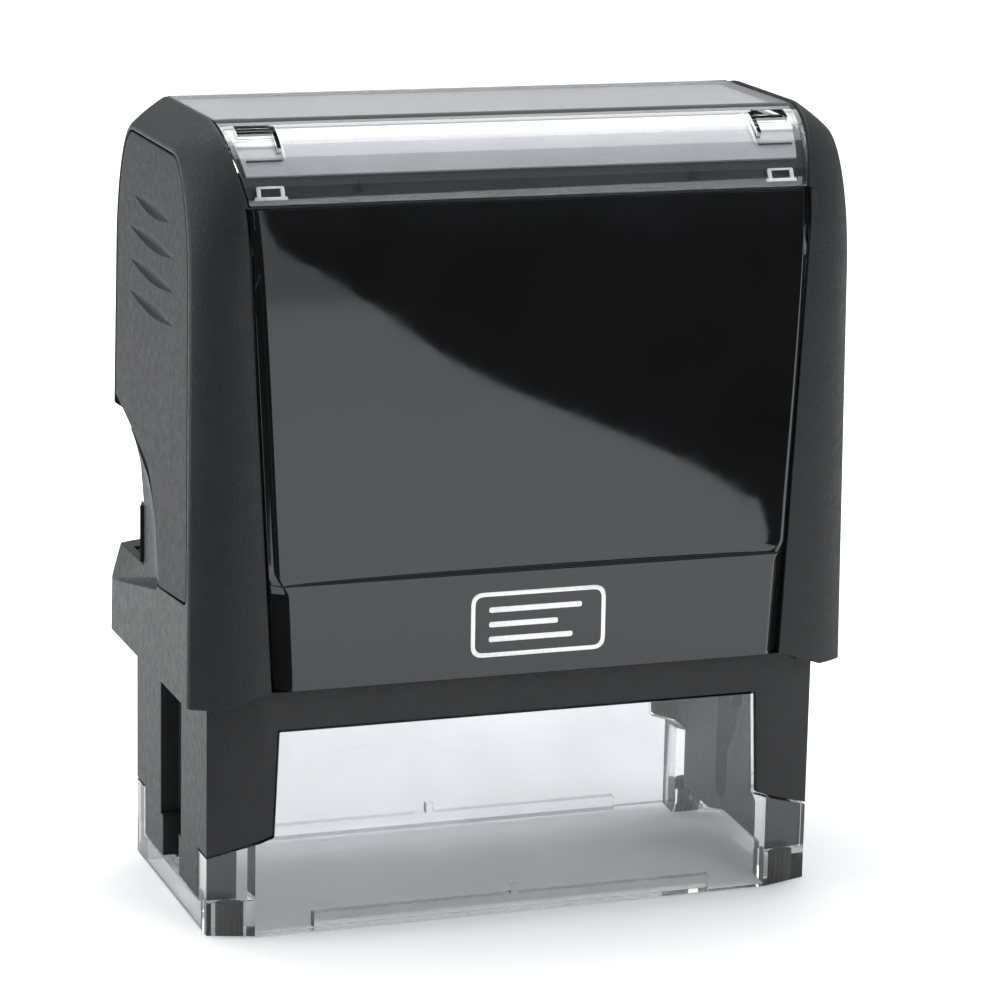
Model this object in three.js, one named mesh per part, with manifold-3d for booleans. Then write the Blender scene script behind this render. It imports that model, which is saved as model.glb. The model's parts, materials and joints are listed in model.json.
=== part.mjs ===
// Self-inking stamp: a sprung hood pushes a yoke down, and the yoke carries a text plate
// that turns over on its way from the ink pad to the paper.
//
// Millimetres. +Z is up, X runs along the long side, the front looks towards -Y.
// The origin lies on the paper, under the middle of the base.

import * as THREE from 'three';
import { mergeVertices } from 'three/addons/utils/BufferGeometryUtils.js';
import { ConvexGeometry } from 'three/addons/geometries/ConvexGeometry.js';
import Module from 'manifold-3d';

const wasm = await Module();
wasm.setup();

// ---------------------------------------------------------------- driving dimensions

const GAP = 0.3;              // clearance between neighbouring pieces
const PAST = 1;               // how far a cutting tool reaches past the face it opens
const STROKE = 29;            // travel of the hood

// Base: black frame on a clear foot
const BASE_X = 41;            // outer half length
const BASE_Y = 19.4;          // outer half width
const BASE_BEVEL_X = 6.3;
const BASE_BEVEL_Y = 2;
const FRAME_TOP = 58;
const FRAME_SIDE_BOTTOM = 4;  // lower edge of the black side walls
const LEG_Y = 13.3;           // the clear corners start this far from the middle
const LEG_BOTTOM_OUT = 10.75; // lower edge of a black leg at the outer corner
const LEG_BOTTOM_IN = 13.5;   // and beside the window
const WINDOW_TOP = 27.3;
const WINDOW_TOP_X = 32.4;
const WINDOW_BOTTOM_X = 33;
const WELL_X = 36;            // inside half size of the frame
const WELL_Y = 17.4;
const FOOT_BOTTOM = 0.3;
const FOOT_INSET = 1.8;       // wall thickness of the foot's rail
const RUBBER_FOOT_R = 1.8;
const RUBBER_FOOT_TOP = 4.3;
const RUBBER_FOOT_AT = [37.6, 15.9];
const FOOT_LEDGE_X = 27;      // low ledge inside the foot's long walls
const FOOT_LEDGE_Y = 16.7;
const FOOT_LEDGE_TOP = 2.3;
const TICK_X = 0.55;          // centre mark on the same walls
const TICK_TOP = 3.6;
const RELIEF_X = 39.5;        // the frame's rear upper corners are cut back to here
const RELIEF_Y = 13;
const RELIEF_BOTTOM = 42.1;

// Yoke and its slot in the frame
const ARM_IN = 38.8;
const ARM_OUT = 40.8;
const ARM_Y = 4.5;            // half width of an arm
const TIP_Y = 3.6;            // half width of its narrow tip
const TIP_TOP = 38.9;
const TIP_BOTTOM = 33.5;
const ARM_SLOT_Y = 5.1;
const TIP_SLOT_Y = 4;
const ARM_SLOT_BOTTOM = TIP_TOP - STROKE - 0.4;
const BRIDGE_BOTTOM = 96.7;
const BRIDGE_TOP = 98.7;
const BRIDGE_Y = 7;
const PEG_R = 5.2;            // pegs that centre the spring
const PEG_LENGTH = 3.5;

// Text plate and its turning axis
const AXIS_Z = 37.5;          // height of the axle at rest
const FACE = 8;               // axle to printing face
const PRINT_X = 31.5;         // half size of the printing face
const PRINT_Y = 12.5;
const HOLDER_X = 34.4;
const HOLDER_Y = 13.2;
const AXLE_R = 1.6;
const LUG_R = 1.2;
const LUG_RADIUS = 5;         // lug to axle
const LUG_GROOVE_DEPTH = 1.2;
const HOLDER_PLATE = [1.6, 4.6];   // heights above the axle
const FOAM_LAYER = [4.9, 6];
const RUBBER_SHEET = [6.3, 7.3];
const BAR_HALF_HEIGHT = 1.3;
const BARS = [[9, 24], [3.2, 28], [-2.6, 20], [-8.4, 26]];  // middle and half length of each raised bar

// Ink cartridge
const TRAY_X = 35.6;
const TRAY_FRONT = -16.6;
const TRAY_REAR = 17;
const TRAY_BOTTOM = 45.8;
const TRAY_TOP = 54.5;
const PAD_X = 32.3;
const PAD_Y = 13.3;
const PAD_FACE = 45.8;
const PAD_TOP = 51.6;
const TRAY_GRIP = { x: 30, reach: 2.1, z: [46.2, 53.3] };
const TRAY_GROOVE = { x: 24, depth: 0.8, z: [48.6, 51] };
const RAIL_THICK = 1.8;       // rails that carry the tray

// Spring
const SPRING_R = 6.5;
const SPRING_WIRE_R = 0.6;
const SPRING_TURNS = 7.5;
const SPRING_SEAT = 56;

// Hood
const HOOD_BOTTOM = 31;
const HOOD_TOP = 103.1;
const SIDE_X = 44.1;          // half length at the lower edge
const DRAFT = 0.01;           // the sides lean in by this much per millimetre
const SIDE_Y = 19.4;          // half width of the flat side at the lower edge
const SIDE_LEAN = 0.022;      // and how much it narrows per millimetre of height
const SIDE_SHOULDER = 82;     // height where the side's edges start to curve in
const SIDE_TOP = 99.6;
const SIDE_TOP_Y = 10;        // half width of the flat side at its top
const EDGE_X = 34.1;          // half length between the cheeks' inner edges, low down
const EDGE_FROM = 33;         // height where EDGE_X and CHEEK_Y hold
const EDGE_SPREAD = 0.05;
const RIDGE_FROM = 93;        // above this height they spread faster
const RIDGE_SPREAD = 0.15;
const CHEEK_Y = 22.6;         // front of the cheeks' inner edges
const CHEEK_LEAN = 0.0227;
const CHEEK_SWELL = [[40.4, 21.4, HOOD_BOTTOM], [40.4, 20.2, 86]];  // their fullest line
const FRONT_SHOULDER = 89.5;  // height where the front starts to round over
const FRONT_ARC_Y = 12.1;     // depth and height of the rounding
const TOP_FLAT_Y = 9.2;       // half width of the flat top
const ARC_POWER = 1.85;
const CAVITY_X = 41.4;
const CAVITY_Y = 19.8;
const CAVITY_SHOULDER = 88;
const CAVITY_TOP = 99;
const CAVITY_BEVEL_X = 6.4;
const CAVITY_BEVEL_Y = 2.2;
const PANEL_FLOOR_Y = 21;     // ground of the recess behind a panel
const PANEL_BOTTOM = 33.5;
const BAND_Y = 23.65;         // front of the panel's lower band
const BAND_TOP = 47;          // top of the thicker lower band
const PANEL_TOP = 93.4;
const PANEL_TOP_Y = 19.2;     // back of the panel at its top
const PANEL_CHAMFER = 1.2;
const PANEL_FACE = [[20.6, PANEL_TOP], [21.3, 90.5], [21.9, 87], [22.4, 80], [22.8, 67]];
const BAND_STEP_Y = [22.9, 23.5];  // panel's front above and below the crease
const REAR_LIP = 3;           // height of the rear panel's thicker lower edge
const REAR_PANEL_BOTTOM = 62;
const OUTSIDE_Y = 26;         // cutting tools reach out to here
const REAR_MOUTH_BOTTOM = 42.4;
const REAR_MOUTH = [[8, REAR_MOUTH_BOTTOM], [8, 50.5], [9.6, 55.5], [15.1, 61]];
const LIP_RISE = { fromX: 40.4, toX: 35, z: 33 };  // the hood's lower edge rises under the panels
const SCOOP_OUTER_X = 44.3;   // finger scoop: its hollow runs from here
const SCOOP_INNER_X = 42.5;   // to here
const SCOOP_SHIFT = 3.2;      // and its edge moves back and down by this much on the way
const SCOOP_DROP = 1.4;
const INSERT_THICK = 0.8;
const INSERT_Y = 18.3;
const INSERT_TOP = 98.7;
const INSERT_BOTTOM = 44.2;
const INSERT_CORNER = [8, 86];     // where its round upper corners start
const RIB_COUNT = 4;
const RIB_DEPTH = 0.35;
const RIB_HIGHEST = 90.9;
const RIB_PITCH = 4.2;
const RIB_REACH = [8, 10, 10, 10]; // half length of each groove
const COVER_SKIN = 0.2;       // the cover lies this far below the hood's skin
const COVER_THICK = 1.3;
const COVER_LOW_ANGLE = 21;   // the rounding's angle at the cover's lower edge
const COVER_REAR_Y = 11.8;
const CARD_THICK = 0.4;
const CARD_LOW_ANGLE = 39.5;
const CARD_INSET_X = 1.6;
const RIDGE_INSET = 0.4;      // wall that stays between the cheeks' edge and the cover
const BUTTON_X = [41.95, 42.95];
const BUTTON_Y = [8.3, 10.8];
const BUTTON_Z = [42.8, 50.3];

// ---------------------------------------------------------------- materials

const BLACK_GRAIN = { color: 0x2b2c2e, roughness: 0.55, metalness: 0 };
const BLACK_GLOSS = { color: 0x0b0b0c, roughness: 0.08, metalness: 0 };
const BLACK_INNER = { color: 0x1b1b1d, roughness: 0.5, metalness: 0 };
const CLEAR = { color: 0xc9ccd2, roughness: 0.08, metalness: 0, transparent: true, opacity: 0.35 };
const CARD = { color: 0xc3c4c8, roughness: 0.6, metalness: 0 };
const STEEL = { color: 0xb4b6b9, roughness: 0.3, metalness: 1 };
const RUBBER = { color: 0x151516, roughness: 0.85, metalness: 0 };
const PRINT_RUBBER = { color: 0x8a3b33, roughness: 0.7, metalness: 0 };
const FOAM = { color: 0x8d9096, roughness: 0.95, metalness: 0 };
const INKED_FOAM = { color: 0x15161d, roughness: 0.9, metalness: 0 };

// ---------------------------------------------------------------- solid helpers

function toSolid(geometry) {
  const bare = geometry.clone();
  bare.deleteAttribute('normal');
  bare.deleteAttribute('uv');
  const merged = mergeVertices(bare, 1e-4);
  return new wasm.Manifold(new wasm.Mesh({
    numProp: 3,
    vertProperties: new Float32Array(merged.attributes.position.array),
    triVerts: new Uint32Array(merged.index.array),
  }));
}

function toGeometry(solid) {
  const mesh = solid.getMesh();
  const geometry = new THREE.BufferGeometry();
  geometry.setAttribute('position', new THREE.BufferAttribute(mesh.vertProperties, 3));
  geometry.setIndex(new THREE.BufferAttribute(mesh.triVerts, 1));
  geometry.computeVertexNormals();
  return geometry;
}

function join(...geometries) {
  return toGeometry(geometries.map(toSolid).reduce((whole, piece) => whole.add(piece)));
}

function cut(geometry, ...tools) {
  return toGeometry(tools.map(toSolid).reduce((left, tool) => left.subtract(tool), toSolid(geometry)));
}

function common(...geometries) {
  return toGeometry(geometries.map(toSolid).reduce((whole, piece) => whole.intersect(piece)));
}

function block(x, y, z) {
  const box = new THREE.BoxGeometry(x[1] - x[0], y[1] - y[0], z[1] - z[0]);
  return box.translate((x[0] + x[1]) / 2, (y[0] + y[1]) / 2, (z[0] + z[1]) / 2);
}

function toShape(points) {
  return new THREE.Shape(points.map(([u, v]) => new THREE.Vector2(u, v)));
}

// Outline in X and Y, pulled up from one height to another.
function prismZ(points, from, to) {
  const depth = to - from;
  return new THREE.ExtrudeGeometry(toShape(points), { depth, bevelEnabled: false }).translate(0, 0, from);
}

// Outline in X and Z, pulled along Y.
function prismY(points, from, to) {
  const depth = to - from;
  const prism = new THREE.ExtrudeGeometry(toShape(points), { depth, bevelEnabled: false });
  return prism.rotateX(Math.PI / 2).translate(0, to, 0);
}

// Outline in Y and Z, pulled along X.
function prismX(points, from, to) {
  const depth = to - from;
  const prism = new THREE.ExtrudeGeometry(toShape(points), { depth, bevelEnabled: false });
  const turn = new THREE.Matrix4().makeBasis(
    new THREE.Vector3(0, 1, 0), new THREE.Vector3(0, 0, 1), new THREE.Vector3(1, 0, 0));
  return prism.applyMatrix4(turn).translate(from, 0, 0);
}

function rod(radius, from, to, y, z, sides = 24) {
  const cylinder = new THREE.CylinderGeometry(radius, radius, to - from, sides);
  return cylinder.rotateZ(-Math.PI / 2).translate((from + to) / 2, y, z);
}

function post(radius, x, y, from, to, sides = 24) {
  const cylinder = new THREE.CylinderGeometry(radius, radius, to - from, sides);
  return cylinder.rotateX(Math.PI / 2).translate(x, y, (from + to) / 2);
}

function hull(points) {
  return new ConvexGeometry(points.map((p) => new THREE.Vector3(...p)));
}

// Low and high ends of a span on the chosen side of the middle.
function onSide(side, near, far) {
  return side > 0 ? [near, far] : [-far, -near];
}

function mirrorX(geometry) {
  const flipped = geometry.clone().scale(-1, 1, 1);
  const order = flipped.index ? Array.from(flipped.index.array)
    : Array.from({ length: flipped.attributes.position.count }, (_, i) => i);
  for (let i = 0; i < order.length; i += 3) {
    [order[i], order[i + 1]] = [order[i + 1], order[i]];
  }
  flipped.setIndex(order);
  return flipped;
}

function beveledOutline(halfX, halfY, bevelX, bevelY) {
  const innerX = halfX - bevelX;
  const innerY = halfY - bevelY;
  return [
    [halfX, -innerY], [halfX, innerY], [innerX, halfY], [-innerX, halfY],
    [-halfX, innerY], [-halfX, -innerY], [-innerX, -halfY], [innerX, -halfY],
  ];
}

// A band of constant width along a path, with round ends.
function ribbonOutline(path, halfWidth) {
  const ENDS = 6;
  const left = [];
  const right = [];
  path.forEach((p, i) => {
    const a = path[Math.max(i - 1, 0)];
    const b = path[Math.min(i + 1, path.length - 1)];
    const along = Math.atan2(b[1] - a[1], b[0] - a[0]);
    left.push([p[0] - halfWidth * Math.sin(along), p[1] + halfWidth * Math.cos(along)]);
    right.push([p[0] + halfWidth * Math.sin(along), p[1] - halfWidth * Math.cos(along)]);
    if (i === 0 || i === path.length - 1) {
      const end = i === 0 ? right : left;
      const start = i === 0 ? along - Math.PI / 2 : along + Math.PI / 2;
      for (let k = 1; k < ENDS; k += 1) {
        const angle = start - (Math.PI * k) / ENDS;
        end.push([p[0] + halfWidth * Math.cos(angle), p[1] + halfWidth * Math.sin(angle)]);
      }
    }
  });
  const startCap = right.slice(1, ENDS).reverse();
  return [left[0], ...startCap, right[0], ...right.slice(ENDS), ...left.slice(1).reverse()];
}

// ---------------------------------------------------------------- hood surfaces

// Half length of the hood's flat side at a height.
const sideX = (z) => SIDE_X - DRAFT * (z - HOOD_BOTTOM);

// Half width of the flat side at a height: straight, then a quarter ellipse.
function sideY(z) {
  if (z <= SIDE_SHOULDER) return SIDE_Y - SIDE_LEAN * (z - HOOD_BOTTOM);
  const rise = (z - SIDE_SHOULDER) / (SIDE_TOP - SIDE_SHOULDER);
  return SIDE_TOP_Y + (sideY(SIDE_SHOULDER) - SIDE_TOP_Y) * Math.sqrt(1 - rise * rise);
}

// Half length between the cheeks' inner edges, beside panels and cover.
const edgeX = (z) => EDGE_X + EDGE_SPREAD * (z - EDGE_FROM) + RIDGE_SPREAD * Math.max(z - RIDGE_FROM, 0);

// Front of the cheeks, below the rounding.
const cheekY = (z) => CHEEK_Y - CHEEK_LEAN * (z - EDGE_FROM);

// Points [y, z] of the rounding over the front edge, `inset` below the outer skin.
function frontArc(inset, fromAngle = 0, toAngle = 90, steps = 10) {
  const points = [];
  for (let i = 0; i <= steps; i += 1) {
    const angle = THREE.MathUtils.degToRad(fromAngle + ((toAngle - fromAngle) * i) / steps);
    const y = TOP_FLAT_Y + (FRONT_ARC_Y - inset) * Math.cos(angle) ** (2 / ARC_POWER);
    const z = FRONT_SHOULDER + (HOOD_TOP - FRONT_SHOULDER - inset) * Math.sin(angle) ** (2 / ARC_POWER);
    points.push([y, z]);
  }
  return points;
}

// Heights at which the side's outline is drawn: close together where it curves.
const CURVE_HEIGHTS = [HOOD_BOTTOM, SIDE_SHOULDER, 87, 91, 94.5, 97, 98.8, SIDE_TOP];

function hoodBlank() {
  const points = [];
  for (const sx of [-1, 1]) {
    for (const sy of [-1, 1]) {
      for (const z of CURVE_HEIGHTS) points.push([sx * sideX(z), sy * sideY(z), z]);
      for (const [x, y, z] of CHEEK_SWELL) points.push([sx * x, sy * y, z]);
      points.push([sx * EDGE_X, sy * cheekY(HOOD_BOTTOM), HOOD_BOTTOM]);
      for (const [y, z] of frontArc(0)) {
        points.push([sx * edgeX(z), sy * y, z]);
      }
    }
  }
  return hull(points);
}

function hoodCavity() {
  const lower = beveledOutline(CAVITY_X, CAVITY_Y, CAVITY_BEVEL_X, CAVITY_BEVEL_Y);
  const crown = [];
  for (const [x, y] of lower) crown.push([x, y, CAVITY_SHOULDER - PAST]);
  for (const sx of [-1, 1]) {
    for (const sy of [-1, 1]) crown.push([sx * (CAVITY_X - 0.2), sy * (BRIDGE_Y + 2 * GAP), CAVITY_TOP]);
  }
  return join(prismZ(lower, HOOD_BOTTOM - PAST, CAVITY_SHOULDER), hull(crown));
}

// Prism along Y that narrows towards the bottom as the cheeks' inner edges do.
function betweenCheeks(from, to) {
  const heights = [from, (from + to) / 2, to];
  const right = heights.map((z) => [edgeX(z), z]);
  const left = heights.map((z) => [-edgeX(z), z]).reverse();
  return prismY([...right, ...left], -OUTSIDE_Y, OUTSIDE_Y);
}

// Side outline of a panel, given for the front. A band stands proud along its lower edge.
function panelOutline(bottom, bandTop) {
  const back = -PANEL_FLOOR_Y - GAP;
  const [above, below] = BAND_STEP_Y;
  return [
    [back, bottom], [back, CAVITY_SHOULDER], [-PANEL_TOP_Y, PANEL_TOP],
    ...PANEL_FACE.map(([y, z]) => [-y, z]),
    [-above, bandTop + below - above], [-below, bandTop], [-BAND_Y, bottom],
  ];
}

// The hollow it sits in, open towards the front.
function panelRecess(bottom) {
  const outline = [
    [-PANEL_FLOOR_Y, bottom - GAP], [-PANEL_FLOOR_Y, CAVITY_SHOULDER],
    [-PANEL_TOP_Y + GAP, PANEL_TOP + GAP], [-OUTSIDE_Y, PANEL_TOP + GAP], [-OUTSIDE_Y, bottom - GAP],
  ];
  return common(prismX(outline, -BASE_X, BASE_X), betweenCheeks(bottom - PAST, PANEL_TOP + PAST));
}

// A panel's sides lean in towards its face.
function panel(bottom, bandTop) {
  const faceY = CHEEK_Y + 2 * GAP;
  const points = [];
  for (const z of [bottom - PAST, PANEL_TOP + PAST]) {
    for (const sx of [-1, 1]) {
      const rim = sx * (edgeX(z) - GAP);
      const face = rim - sx * PANEL_CHAMFER;
      points.push([rim, -PANEL_TOP_Y + PAST, z], [rim, -faceY + PANEL_CHAMFER, z]);
      points.push([face, -faceY, z], [face, -OUTSIDE_Y, z]);
    }
  }
  return common(prismX(panelOutline(bottom, bandTop), -BASE_X, BASE_X), hull(points));
}

function frontPanel() {
  return panel(PANEL_BOTTOM, BAND_TOP);
}

function rearPanel() {
  return panel(REAR_PANEL_BOTTOM, REAR_PANEL_BOTTOM + REAR_LIP).rotateZ(Math.PI);
}

// Outline [y, z] of the clear cover or the card under it, given for the front edge.
function coverOutline(outer, inner, lowAngle, rearY) {
  const outside = frontArc(outer, lowAngle, 90).map(([y, z]) => [-y, z]);
  const inside = frontArc(inner, lowAngle, 90).map(([y, z]) => [-y, z]).reverse();
  return [...outside, [rearY, HOOD_TOP - outer], [rearY, HOOD_TOP - inner], ...inside];
}

function betweenRidges(inset) {
  const low = PANEL_TOP - PAST;
  const high = HOOD_TOP + PAST;
  const lowX = edgeX(low) - inset;
  const highX = edgeX(high) - inset;
  return prismY([[lowX, low], [highX, high], [-highX, high], [-lowX, low]], -OUTSIDE_Y, OUTSIDE_Y);
}

function indexCover() {
  const outline = coverOutline(COVER_SKIN, COVER_SKIN + COVER_THICK, COVER_LOW_ANGLE, COVER_REAR_Y);
  return common(prismX(outline, -BASE_X, BASE_X), betweenRidges(RIDGE_INSET + GAP));
}

function indexCard() {
  const outer = COVER_SKIN + COVER_THICK + GAP;
  const outline = coverOutline(outer, outer + CARD_THICK, CARD_LOW_ANGLE, COVER_REAR_Y - 0.5);
  return common(prismX(outline, -BASE_X, BASE_X), betweenRidges(CARD_INSET_X));
}

function coverRecess() {
  const floor = COVER_SKIN + COVER_THICK + GAP + CARD_THICK + GAP;
  const ground = frontArc(floor, COVER_LOW_ANGLE - 5, 90).map(([y, z]) => [-y, z]);
  const outline = [
    [-OUTSIDE_Y, PANEL_TOP + GAP], [ground[0][0], PANEL_TOP + GAP],
    ...ground.filter(([, z]) => z > PANEL_TOP + GAP),
    [COVER_REAR_Y + GAP, HOOD_TOP - floor], [COVER_REAR_Y + GAP, HOOD_TOP + PAST],
    [-OUTSIDE_Y, HOOD_TOP + PAST],
  ];
  return common(prismX(outline, -BASE_X, BASE_X), betweenRidges(RIDGE_INSET));
}

// Edge [y, z] of the finger scoop on the hood's side, from the rear to its lower front end.
function scoopEdge(shift, drop) {
  const curve = new THREE.CubicBezierCurve(
    new THREE.Vector2(5.2 + shift, 58.2 - drop), new THREE.Vector2(-1 + shift, 56.6 - drop),
    new THREE.Vector2(-2.3 + shift, 52), new THREE.Vector2(-4.5 + shift, REAR_MOUTH_BOTTOM));
  return [[18.5, 62.5 - drop], ...curve.getPoints(7).map((p) => [p.x, p.y])];
}

function scoopTool(side) {
  const outer = [[24, 64.3], ...scoopEdge(0, 0), [24, 36.6]];
  const inner = [[24, 62.9], ...scoopEdge(SCOOP_SHIFT, SCOOP_DROP), [24, REAR_MOUTH_BOTTOM]];
  return hull([
    ...outer.map(([y, z]) => [side * SCOOP_OUTER_X, y, z]),
    ...inner.map(([y, z]) => [side * SCOOP_INNER_X, y, z]),
  ]);
}

// Outline [y, z] of the grip insert. The scoop cuts its lower rear corner away.
function insertOutline(grow, intoScoop) {
  const edge = INSERT_Y + grow;
  const top = INSERT_TOP + grow;
  const bottom = INSERT_BOTTOM - grow;
  const [y0, z0] = INSERT_CORNER;
  const corner = new THREE.EllipseCurve(-y0, z0, edge - y0, top - z0, Math.PI, Math.PI / 2, true);
  const frontCorner = corner.getPoints(7).map((p) => [p.x, p.y]);
  const rearCorner = frontCorner.map(([y, z]) => [-y, z]).reverse();
  const scoop = scoopEdge(intoScoop, 0).map(([y, z]) => [y - 0.4, z + 0.7 - intoScoop]);
  return [
    [-edge + 1.5, bottom], [-edge, bottom + 1.4], ...frontCorner, ...rearCorner,
    [edge, 63.2 - intoScoop], ...scoop.slice(1, -1), [-5.3 + intoScoop, bottom - 1.1],
  ];
}

// Four lens-shaped grooves for the fingers.
function gripRibs() {
  const ribs = [];
  for (let i = 0; i < RIB_COUNT; i += 1) {
    const height = RIB_HIGHEST - RIB_PITCH * i;
    const reach = RIB_REACH[i];
    const rearEnd = new THREE.Vector2(reach, height);
    const frontEnd = new THREE.Vector2(-reach, height - 0.6);
    const upper = new THREE.QuadraticBezierCurve(rearEnd, new THREE.Vector2(0, height + 1.6), frontEnd);
    const lower = new THREE.QuadraticBezierCurve(frontEnd, new THREE.Vector2(0, height - 2.2), rearEnd);
    const outline = [...upper.getPoints(6).slice(0, -1), ...lower.getPoints(6).slice(0, -1)];
    ribs.push(prismX(outline.map((p) => [p.x, p.y]), -RIB_DEPTH, PAST));
  }
  return ribs;
}

// A piece drawn around x = 0, stood against the leaning right-hand side of the hood.
function leanOnSide(geometry) {
  return geometry.translate(0, 0, -HOOD_BOTTOM).rotateY(-DRAFT).translate(SIDE_X, 0, HOOD_BOTTOM);
}

function gripInsert() {
  const plate = prismX(insertOutline(0, 0), -INSERT_THICK, 0);
  return leanOnSide(cut(plate, ...gripRibs()));
}

function insertPocket() {
  return leanOnSide(prismX(insertOutline(GAP, 2), -INSERT_THICK - GAP, PAST));
}

function hoodShell() {
  const frontRecess = panelRecess(PANEL_BOTTOM);
  const rearRecess = panelRecess(REAR_PANEL_BOTTOM).rotateZ(Math.PI);
  const { fromX, toX, z: lipZ } = LIP_RISE;
  const low = HOOD_BOTTOM - PAST;
  const lipOutline = [
    [-fromX, HOOD_BOTTOM], [-toX, lipZ], [toX, lipZ], [fromX, HOOD_BOTTOM], [toX, low], [-toX, low],
  ];
  const mouthOutline = [...REAR_MOUTH, [OUTSIDE_Y, REAR_MOUTH.at(-1)[1]], [OUTSIDE_Y, REAR_MOUTH_BOTTOM]];
  return cut(hoodBlank(), hoodCavity(), frontRecess, rearRecess, coverRecess(),
    prismX(mouthOutline, -SIDE_X - PAST, SIDE_X + PAST),
    prismY(lipOutline, -OUTSIDE_Y, -CAVITY_Y + PAST), prismY(lipOutline, CAVITY_Y - PAST, OUTSIDE_Y),
    scoopTool(1), scoopTool(-1), insertPocket(), mirrorX(insertPocket()));
}

// Wedge-shaped tab in the corner of the rear mouth, on the right.
function lockButton() {
  const [inner, outer] = BUTTON_X;
  const [front, rear] = BUTTON_Y;
  return prismZ([[inner, front], [outer, front], [inner + 0.1, rear], [inner, rear]], ...BUTTON_Z);
}

// ---------------------------------------------------------------- yoke and spring

function yoke() {
  const arm = (side) => join(
    block(onSide(side, ARM_IN, ARM_OUT), [-ARM_Y, ARM_Y], [TIP_TOP, BRIDGE_TOP]),
    block(onSide(side, ARM_IN, ARM_OUT), [-TIP_Y, TIP_Y], [TIP_BOTTOM, TIP_TOP + PAST]));
  const bridge = block([-ARM_OUT, ARM_OUT], [-BRIDGE_Y, BRIDGE_Y], [BRIDGE_BOTTOM, BRIDGE_TOP]);
  const peg = post(PEG_R, 0, 0, BRIDGE_BOTTOM - PEG_LENGTH, BRIDGE_BOTTOM + PAST);
  const bearing = rod(AXLE_R + GAP, -ARM_OUT - PAST, ARM_OUT + PAST, 0, AXIS_Z);
  return cut(join(bridge, peg, arm(1), arm(-1)), bearing);
}

class Helix extends THREE.Curve {
  constructor(radius, bottom, top, turns) {
    super();
    Object.assign(this, { radius, bottom, top, turns });
  }

  getPoint(t) {
    const angle = 2 * Math.PI * this.turns * t;
    const height = THREE.MathUtils.lerp(this.bottom, this.top, t);
    return new THREE.Vector3(this.radius * Math.cos(angle), this.radius * Math.sin(angle), height);
  }
}

function returnSpring() {
  const STEPS_PER_TURN = 12;
  const bottom = SPRING_SEAT + GAP + SPRING_WIRE_R;
  const top = BRIDGE_BOTTOM - GAP - SPRING_WIRE_R;
  const wire = new THREE.Shape().absarc(0, 0, SPRING_WIRE_R, 0, 2 * Math.PI);
  return new THREE.ExtrudeGeometry(wire, {
    steps: Math.round(SPRING_TURNS * STEPS_PER_TURN),
    extrudePath: new Helix(SPRING_R, bottom, top, SPRING_TURNS),
    curveSegments: 3,
  });
}

// ---------------------------------------------------------------- base

// Where the guide lug runs while the plate turns half round during one stroke: [y, z].
function lugPath() {
  const STEPS = 16;
  const points = [];
  for (let i = 0; i <= STEPS; i += 1) {
    const turn = (Math.PI * i) / STEPS;
    const axle = AXIS_Z - (STROKE * i) / STEPS;
    points.push([-LUG_RADIUS * Math.sin(turn), axle - LUG_RADIUS * Math.cos(turn)]);
  }
  return points;
}

function baseFrame() {
  const body = prismZ(beveledOutline(BASE_X, BASE_Y, BASE_BEVEL_X, BASE_BEVEL_Y),
    FRAME_SIDE_BOTTOM, FRAME_TOP);
  const well = block([-WELL_X, WELL_X], [-WELL_Y, WELL_Y], [0, TRAY_TOP + GAP]);
  const windowOutline = [
    [-BASE_X - PAST, 0], [BASE_X + PAST, 0], [BASE_X + PAST, LEG_BOTTOM_OUT],
    [BASE_X, LEG_BOTTOM_OUT], [WINDOW_BOTTOM_X, LEG_BOTTOM_IN], [WINDOW_TOP_X, WINDOW_TOP],
    [-WINDOW_TOP_X, WINDOW_TOP], [-WINDOW_BOTTOM_X, LEG_BOTTOM_IN], [-BASE_X, LEG_BOTTOM_OUT],
    [-BASE_X - PAST, LEG_BOTTOM_OUT],
  ];
  const tools = [
    well,
    prismY(windowOutline, -BASE_Y - PAST, -LEG_Y),
    prismY(windowOutline, LEG_Y, BASE_Y + PAST),
    block([-TRAY_X - GAP, TRAY_X + GAP], [WELL_Y - PAST, BASE_Y + PAST], [TRAY_BOTTOM - GAP, TRAY_TOP + GAP]),
    post(SPRING_R + 1.5, 0, 0, SPRING_SEAT, FRAME_TOP + PAST, 32),
  ];
  const axleSlot = ribbonOutline([[0, AXIS_Z - STROKE], [0, AXIS_Z + 0.3]], AXLE_R + GAP);
  const lugGroove = ribbonOutline(lugPath(), LUG_R + 0.4);
  for (const side of [-1, 1]) {
    tools.push(
      block(onSide(side, ARM_IN - GAP, BASE_X + PAST), [-ARM_SLOT_Y, ARM_SLOT_Y],
        [ARM_SLOT_BOTTOM, FRAME_TOP + PAST]),
      block(onSide(side, ARM_IN - GAP, BASE_X + PAST), [-TIP_SLOT_Y, TIP_SLOT_Y],
        [0, ARM_SLOT_BOTTOM + PAST]),
      prismX(axleSlot, ...onSide(side, WELL_X - PAST, ARM_IN)),
      prismX(lugGroove, ...onSide(side, WELL_X - PAST, WELL_X + LUG_GROOVE_DEPTH)),
      block(onSide(side, RELIEF_X, BASE_X + PAST), [RELIEF_Y, BASE_Y + PAST],
        [RELIEF_BOTTOM, FRAME_TOP + PAST]));
  }
  const rails = [-1, 1].map((side) => block(onSide(side, HOLDER_X + GAP, WELL_X + PAST),
    [-WELL_Y - PAST, WELL_Y + PAST], [TRAY_BOTTOM - GAP - RAIL_THICK, TRAY_BOTTOM - GAP]));
  const peg = post(PEG_R, 0, 0, SPRING_SEAT - PAST / 2, SPRING_SEAT + PEG_LENGTH);
  return join(cut(body, ...tools), ...rails, peg);
}

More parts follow.
